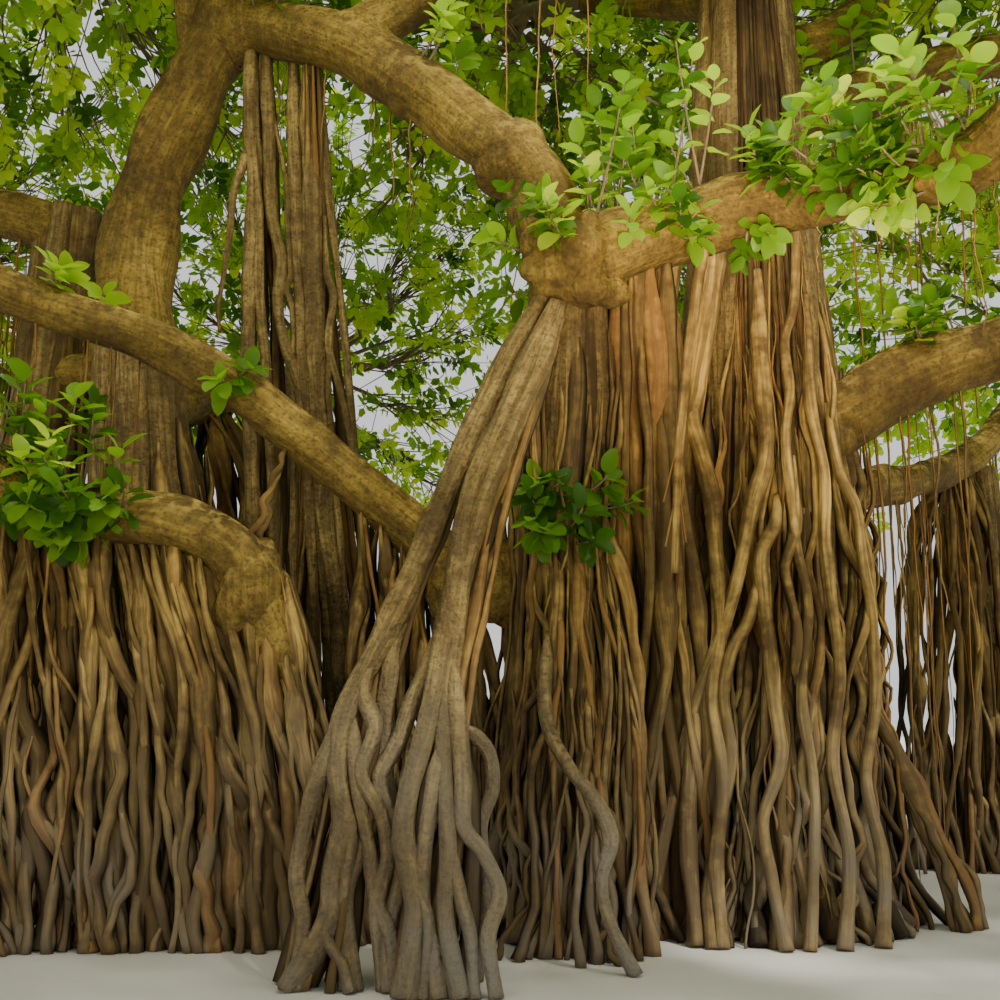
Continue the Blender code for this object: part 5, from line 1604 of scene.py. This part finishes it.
Blade = namedtuple("Blade", "points faces")
PLAIN_BLADE = Blade(
    np.array([(0, 0, -0.02), (0.42, 0.31, 0.06), (0.96, 0.14, -0.04),
              (0.96, -0.14, -0.04), (0.42, -0.31, 0.06)]),
    np.array([(0, 2, 1), (0, 3, 2), (0, 4, 3)]),
)


def set_blades(blade, base, along, normal, length):
    """Copies of a blade: each at its base, its length along one direction, its upper face to normal."""
    x = unit(along)
    y = unit(np.cross(normal, x))
    z = np.cross(x, y)
    local = blade.points * length[..., None, None]
    points = base[:, None] + local[..., :1] * x[:, None]
    points = points + local[..., 1:2] * y[:, None] + local[..., 2:] * z[:, None]
    faces = blade.faces + (np.arange(len(base)) * len(blade.points))[:, None, None]
    points = points.reshape(-1, 3)
    plain = np.zeros(len(points))
    return Skin(points, faces.reshape(-1, 3), np.zeros_like(points), plain, plain)


def spray_leaves(routes, count, length, reach, rng, blade, upward=0.9):
    """The leaves of sprays: count leaves round the end of each route, over the last stretch of this reach.

    Leaf i starts i / count of the reach below the tip. Its direction is the route's own, leaned out by an
    angle that grows from the tip down, and turned round the route by i golden angles.
    """
    tip = routes[:, -1]
    run, across, over = (part[:, -1] for part in ring_directions(routes))
    sprays, i = len(routes), np.arange(count)
    turn = i * GOLDEN_ANGLE + rng.uniform(0, 6, (sprays, 1)) + rng.normal(0, TURN_SCATTER, (sprays, count))
    lean = np.radians(LEAST_LEAN + LEAN_RANGE * (i + rng.uniform(0, 1, (sprays, count))) / count)
    out = np.cos(turn)[..., None] * across[:, None] + np.sin(turn)[..., None] * over[:, None]
    along = np.cos(lean)[..., None] * run[:, None] + np.sin(lean)[..., None] * out
    along[..., 2] -= rng.uniform(0.0, DROOP, (sprays, count))
    normal = FACE_OUT * np.cos(lean)[..., None] * out * -1 + run[:, None] * np.sin(lean)[..., None]
    normal = normal + rng.normal(0, FACE_SCATTER, normal.shape) + [0, 0, upward]
    down = reach * (i + rng.uniform(0, STEP_SCATTER, (sprays, count))) / count
    base = tip[:, None] - run[:, None] * down[..., None] + unit(along) * STALK * length
    size = length * rng.uniform(*LEAF_SIZES, (sprays, count))
    return set_blades(blade, base.reshape(-1, 3), along.reshape(-1, 3), normal.reshape(-1, 3), size.ravel())


print(TIPS * LEAVES_PER_SPRAY, "leaves of", len(PLAIN_BLADE.faces), "triangles for the crown")

# %% [markdown]
# ### Leaf finishes
# Seen from below, a leaf in the sun glows yellow-green, and one in the shade is a deep, glossy green. The
# glow is light that comes through the blade, so each finish mixes a glossy surface with a translucent one.
# Each spray has one of five plain greens, dealt out at random, from a deep green of painted shade to a lime
# of painted sunlight, so the crown's dapple is painted. A green has two colours: that of its face and that of
# the light which comes through it.

# %% Leaf and twig finishes
LEAF_ROUGHNESS = 0.45
LEAF_GLOSS = 0.3
GLOW = 0.45
# Painted sunlight and shade: leaf_lime is the most sunlit green, leaf_deep the most shaded.
GREENS = {
    "leaf_deep": ((0.038, 0.11, 0.007), (0.11, 0.27, 0.01)),
    "leaf_dark": ((0.085, 0.20, 0.010), (0.22, 0.45, 0.012)),
    "leaf_green": ((0.16, 0.315, 0.015), (0.40, 0.68, 0.016)),
    "leaf_fresh": ((0.27, 0.455, 0.022), (0.60, 0.88, 0.024)),
    "leaf_lime": ((0.42, 0.58, 0.036), (0.78, 0.96, 0.055)),
}
GREEN_SHARES = (0.10, 0.16, 0.24, 0.28, 0.22)


def leaf_finish(name, face, through):
    """A glossy leaf of one colour that lets light through in another."""
    made, shader = new_finish(name, LEAF_ROUGHNESS, LEAF_GLOSS)
    tree = made.node_tree
    shader.inputs["Base Color"].default_value = paint(face)
    glow = add_node(tree, "BsdfTranslucent", {"Color": paint(through)})
    both = add_node(tree, "MixShader", {0: GLOW, 1: shader.outputs[0], 2: glow.outputs[0]})
    tree.links.new(both.outputs[0], tree.nodes["Material Output"].inputs["Surface"])
    return made


def deal_greens(sprays, shares, faces_per_spray, rng):
    """A green for each spray, by these shares, repeated for all of its faces."""
    return np.repeat(rng.choice(len(GREENS), sprays, p=shares), faces_per_spray)


LEAF_FINISHES = [leaf_finish(name, *colours) for name, colours in GREENS.items()]
TWIG_BARK = plain_finish("twig_bark", (0.20, 0.145, 0.08), 0.85)
print(len(LEAF_FINISHES), "greens, and", TWIG_BARK.name)

# %% [markdown]
# ### The whole crown
# Each mass becomes two pieces, its wood and its leaves. Both replace the solid that held its room.

# %% The crown
for seed, (name, size) in enumerate((name, size) for name, size in BOUGHS.items() if size.mass):
    rng = np.random.default_rng(600 + seed)
    node = f"foliage_{size.mass[0]}_{size.mass[1]:02d}"
    points = tips[owner == list(CENTRES).index(size.mass)]
    wood, twigs = grow_twigs(mass_stem(size, CENTRES[size.mass]), points, rng)
    make_piece(node + "_twigs", wood, [TWIG_BARK], [node])
    leaves = spray_leaves(twigs, LEAVES_PER_SPRAY, LEAF_LENGTH, SPRAY_LENGTH, rng, PLAIN_BLADE)
    greens = deal_greens(len(twigs), GREEN_SHARES, LEAVES_PER_SPRAY * len(PLAIN_BLADE.faces), rng)
    make_piece(node + "_leaves", leaves, LEAF_FINISHES, [node], greens)
crown = {key: value for key, value in counts.items() if key.startswith("foliage")}
print(sum(crown.values()), "triangles in the crown; the largest piece has", max(crown.values()))

# %% [markdown]
# ## Sprays on the boughs
# Here and there a limb sends out short shoots of its own. These hang in front of the trunks, where they are
# seen from near by, so their leaves get a real outline, a midrib and a curve.

# %% Near leaves
BLADE_STEPS = 9
BLADE_ROWS = 3
BLADE_HALF_WIDTH = 0.33
BLADE_FOLD = 0.10
BLADE_ARCH = 0.16
BLADE_RIPPLE = 0.012


def curved_blade():
    """A leaf as a surface of two parameters: how far along it, and how far across.

    Its half width is sin(pi t**0.9) to a power below 1, so that it is broad and blunt, and broadest a little
    before its middle. It is folded along the midrib, ripples at its edges, and arches down to its tip.
    """
    t = np.linspace(0, 1, BLADE_STEPS)[:, None]
    s = np.linspace(-1, 1, BLADE_ROWS)[None]
    half = BLADE_HALF_WIDTH * np.sin(math.pi * t**0.9) ** 0.62
    x, y = t + 0 * s, half * s
    fold = BLADE_FOLD * np.abs(s) * half / BLADE_HALF_WIDTH
    z = fold - BLADE_ARCH * t**2 + BLADE_RIPPLE * np.sin(14 * t) * np.abs(s)
    cell, row = np.meshgrid(np.arange(BLADE_STEPS - 1), np.arange(BLADE_ROWS - 1), indexing="ij")
    a = (cell * BLADE_ROWS + row).ravel()
    b, c, d = a + BLADE_ROWS, a + BLADE_ROWS + 1, a + 1
    faces = np.concatenate([np.stack([a, b, c], -1), np.stack([a, c, d], -1)])
    return Blade(np.stack([x, y, z], -1).reshape(-1, 3), faces)


NEAR_BLADE = curved_blade()
print("a near leaf has", len(NEAR_BLADE.faces), "triangles")

# %% [markdown]
# A cluster of shoots has the limb that it grows from, the stretch of it, the angles round it, the number of
# its shoots, their lengths, the way that they all lean, and the shares of the five greens among them, which
# give it painted sunlight and painted shade. Three of the clusters have a solid to replace.

# %% Shoots with near leaves
NEAR_LEAF = 0.2
NEAR_LEAVES = 9
SHOOT_RINGS = 8
SHOOT_SIDES = 6
SHOOT_WIDTHS = (0.012, 0.005)
SHOOT_RISE = 0.25
SHOOT_SCATTER = 0.35
SHOOT_SUNK = 0.9
LEAFY_SHARE = 0.85
# Shares of the greens: BRIGHT leans to painted sunlight, SHADED and DIM to painted shade.
BRIGHT = (0.08, 0.22, 0.34, 0.28, 0.08)
SHADED = (0.25, 0.35, 0.25, 0.10, 0.05)
DIM = (0.5, 0.35, 0.15, 0.0, 0.0)
WITH_SOLIDS = ("knot_sprig", "front_sprig", "left_sprig")

Shoots = namedtuple("Shoots", "limb shares turns count lengths lean greens")
SHOOTS = {
    "knot_sprig": Shoots("right_front_bough", (0.02, 0.2), (60, 120), 15, (0.3, 1.1), (0.1, 0, 0.6), BRIGHT),
    "knot_low_sprig": Shoots("right_front_bough", (0.04, 0.14), (-40, 30), 6, (0.15, 0.35), (0, -0.2, -0.3),
                             BRIGHT),
    "knot_left_sprig": Shoots("arch_bough", (0.9, 1.0), (0, 360), 9, (0.25, 0.6), (-0.9, -0.9, 0), BRIGHT),
    "middle_sprig": Shoots("right_front_bough", (0.22, 0.36), (0, 70), 8, (0.2, 0.4), (0, -0.3, 0), SHADED),
    "under_sprig": Shoots("right_front_bough", (0.22, 0.27), (-80, -60), 2, (0.2, 0.3), (0, 0, -0.3), BRIGHT),
    "front_sprig": Shoots("right_front_bough", (0.38, 0.64), (-60, 80), 36, (0.2, 0.6), (0, -0.4, -0.1),
                          BRIGHT),
    "left_sprig": Shoots("low_left_bough", (0.3, 0.42), (70, 140), 14, (0.2, 0.6), (0, -0.25, 0.2), BRIGHT),
    "left_low_sprig": Shoots("low_left_bough", (0.27, 0.4), (150, 230), 15, (0.2, 0.55), (0, -0.3, -0.2),
                             SHADED),
    "long_bough_sprig": Shoots("long_left_bough", (0.46, 0.54), (60, 200), 3, (0.12, 0.2), (0, 0, 0), BRIGHT),
    "long_low_sprig": Shoots("long_left_bough", (0.33, 0.38), (150, 240), 2, (0.1, 0.16), (0, 0, 0), SHADED),
    "arch_sprig": Shoots("arch_bough", (0.46, 0.54), (60, 120), 4, (0.2, 0.5), (0, 0, 0.2), BRIGHT),
    "riser_sprig": Shoots("arch_bough", (0.02, 0.12), (0, 90), 4, (0.2, 0.45), (0, -0.3, 0), BRIGHT),
    "right_sprig": Shoots("right_bough", (0.24, 0.34), (40, 110), 7, (0.15, 0.4), (0, 0, 0.1), BRIGHT),
    "upper_sprig": Shoots("upper_right_bough", (0.12, 0.5), (30, 110), 12, (0.2, 0.5), (0, -0.2, 0), BRIGHT),
    "centre_sprig": Shoots("centre_trunk", (0.54, 0.64), (-130, -50), 11, (0.15, 0.42), (0.2, -0.4, 0), DIM),
}


def limb_line(name):
    """The line of a trunk or bough, and its radius along it."""
    if name in TRUNKS:
        return smooth(TRUNKS[name].axis, LINE_STEPS), spread_over(TRUNKS[name].core, LINE_STEPS)
    return bough_line(BOUGHS[name], LINE_STEPS)


def limb_skin_point(name, share, turn):
    """Points on a limb's surface at shares of its length, and the directions out of it.

    turn is an angle in degrees round the limb. On a bough 90 is on top, and 0 on the side that run x up
    points to. On a trunk -90 is in front.
    """
    line, radii = limb_line(name)
    place = at_share(line[None], share[None])[0]
    wide = at_share(radii[None, :, None], share[None])[0]
    run = unit(at_share(np.gradient(line, axis=0)[None], share[None])[0])
    side = unit(np.cross(run, [0, 0, 1.0]))
    up = np.cross(side, run)
    angle = np.radians(turn)[:, None]
    out = np.cos(angle) * side + np.sin(angle) * up
    return place + out * wide * SHOOT_SUNK, out


def leafy(name, plan, rng, nodes):
    """A cluster of shoots with near leaves, as two pieces: its wood and its leaves."""
    share, turn = rng.uniform(*plan.shares, plan.count), rng.uniform(*plan.turns, plan.count)
    base, out = limb_skin_point(plan.limb, share, turn)
    lengths = rng.uniform(*plan.lengths, (plan.count, 1))
    leave = unit(out + np.asarray(plan.lean) + rng.normal(0, SHOOT_SCATTER, base.shape))
    routes = bent_route(base, leave, base + lengths * (leave + [0, 0, SHOOT_RISE]), SHOOT_RINGS)
    make_piece(name + "_shoots", tapered(routes, SHOOT_WIDTHS, SHOOT_SIDES), [TWIG_BARK], nodes)
    reach = LEAFY_SHARE * lengths.mean()
    leaves = spray_leaves(routes, NEAR_LEAVES, NEAR_LEAF, reach, rng, NEAR_BLADE, upward=1.0)
    greens = deal_greens(plan.count, plan.greens, NEAR_LEAVES * len(NEAR_BLADE.faces), rng)
    make_piece(name + "_leaves", leaves, LEAF_FINISHES, nodes, greens)


for seed, (name, plan) in enumerate(SHOOTS.items()):
    leafy(name, plan, np.random.default_rng(700 + seed), [name] if name in WITH_SOLIDS else [])
print("near leaves:", sum(value for key, value in counts.items() if "sprig" in key), "triangles")

# %% [markdown]
# ## Floor and light
# A pale, plain floor and plain light show the tree without a story. The world is an even white, so the gaps
# in the crown read as bright sky. A soft sun from high up comes through them as dapples. Under the crown, a
# broad lamp high in the vault lights the boughs from above, as the sky does where the crown is thin, and
# another behind the viewer opens up the shade. A small warm lamp low in front shines up at the front bough,
# as the sunlit ground before the tree does.

# %% Floor
FLOOR_RADIUS = 90.0
FLOOR_SIDES = 96
FLOOR_DEPTH = 0.002
FLOOR_COLOUR = (0.62, 0.60, 0.57)

bpy.ops.mesh.primitive_circle_add(vertices=FLOOR_SIDES, radius=FLOOR_RADIUS, fill_type="NGON",
                                  location=(0, 0, -FLOOR_DEPTH))
floor = bpy.context.object
floor.name = "floor"
floor.data.materials.append(plain_finish("pale_floor", FLOOR_COLOUR, 0.9))
print("a floor of", 2 * FLOOR_RADIUS, "m across")

# %% Light
WORLD_LIGHT = 0.9
WORLD_COLOUR = (0.97, 0.98, 0.96)
SUN_POWER = 6.0
SUN_SIZE = 4
SUN_TURN = (38, 16, 20)
SUN_COLOUR = (1.0, 0.95, 0.86)

Lamp = namedtuple("Lamp", "place turn size power spread colour")
LAMPS = {
    "front_light": Lamp((-4.0, -14.0, 3.0), (88, 0, 0), (12.0, 4.0), 280.0, 180, (1.0, 0.96, 0.9)),
    "bough_light": Lamp((-0.9, -6.4, 2.4), (121, 0, -10), (1.5, 1.5), 55.0, 45, (1.0, 0.78, 0.52)),
    "vault_light": Lamp((-2.0, -2.9, 8.0), (14, 6, 0), (10.0, 2.5), 300.0, 180, (1.0, 0.93, 0.8)),
}


def add_light(name, kind, power, colour, turn):
    """A lamp of one kind, turned by these degrees, and the object that holds it."""
    lamp = bpy.data.lights.new(name, kind)
    lamp.energy = power
    lamp.color = colour
    held = add_to_scene(name, lamp)
    held.rotation_euler = [math.radians(angle) for angle in turn]
    return lamp, held


def add_broad_lamp(name, plan):
    """A broad lamp that is not seen itself. Its light fans out over the angle of its spread."""
    lamp, held = add_light(name, "AREA", plan.power, plan.colour, plan.turn)
    lamp.shape = "RECTANGLE"
    lamp.size, lamp.size_y = plan.size
    lamp.spread = math.radians(plan.spread)
    held.location = plan.place
    held.visible_camera = False


world = bpy.data.worlds.new("sky")
world.use_nodes = True
world.node_tree.nodes["Background"].inputs["Color"].default_value = paint(WORLD_COLOUR)
world.node_tree.nodes["Background"].inputs["Strength"].default_value = WORLD_LIGHT
bpy.context.scene.world = world

sun, _ = add_light("sun", "SUN", SUN_POWER, SUN_COLOUR, SUN_TURN)
sun.angle = math.radians(SUN_SIZE)
for name, plan in LAMPS.items():
    add_broad_lamp(name, plan)
print("light: world", WORLD_LIGHT, "sun", SUN_POWER, {name: plan.power for name, plan in LAMPS.items()})

# %% [markdown]
# ## Sizes
# The triangles are counted, in all and in the largest piece. What is dressed has to stay in
# the solids' box.

# %% Finish
print("in all:", sum(counts.values()), "triangles in", len(counts), "pieces")
print("the largest piece has", max(counts.values()))
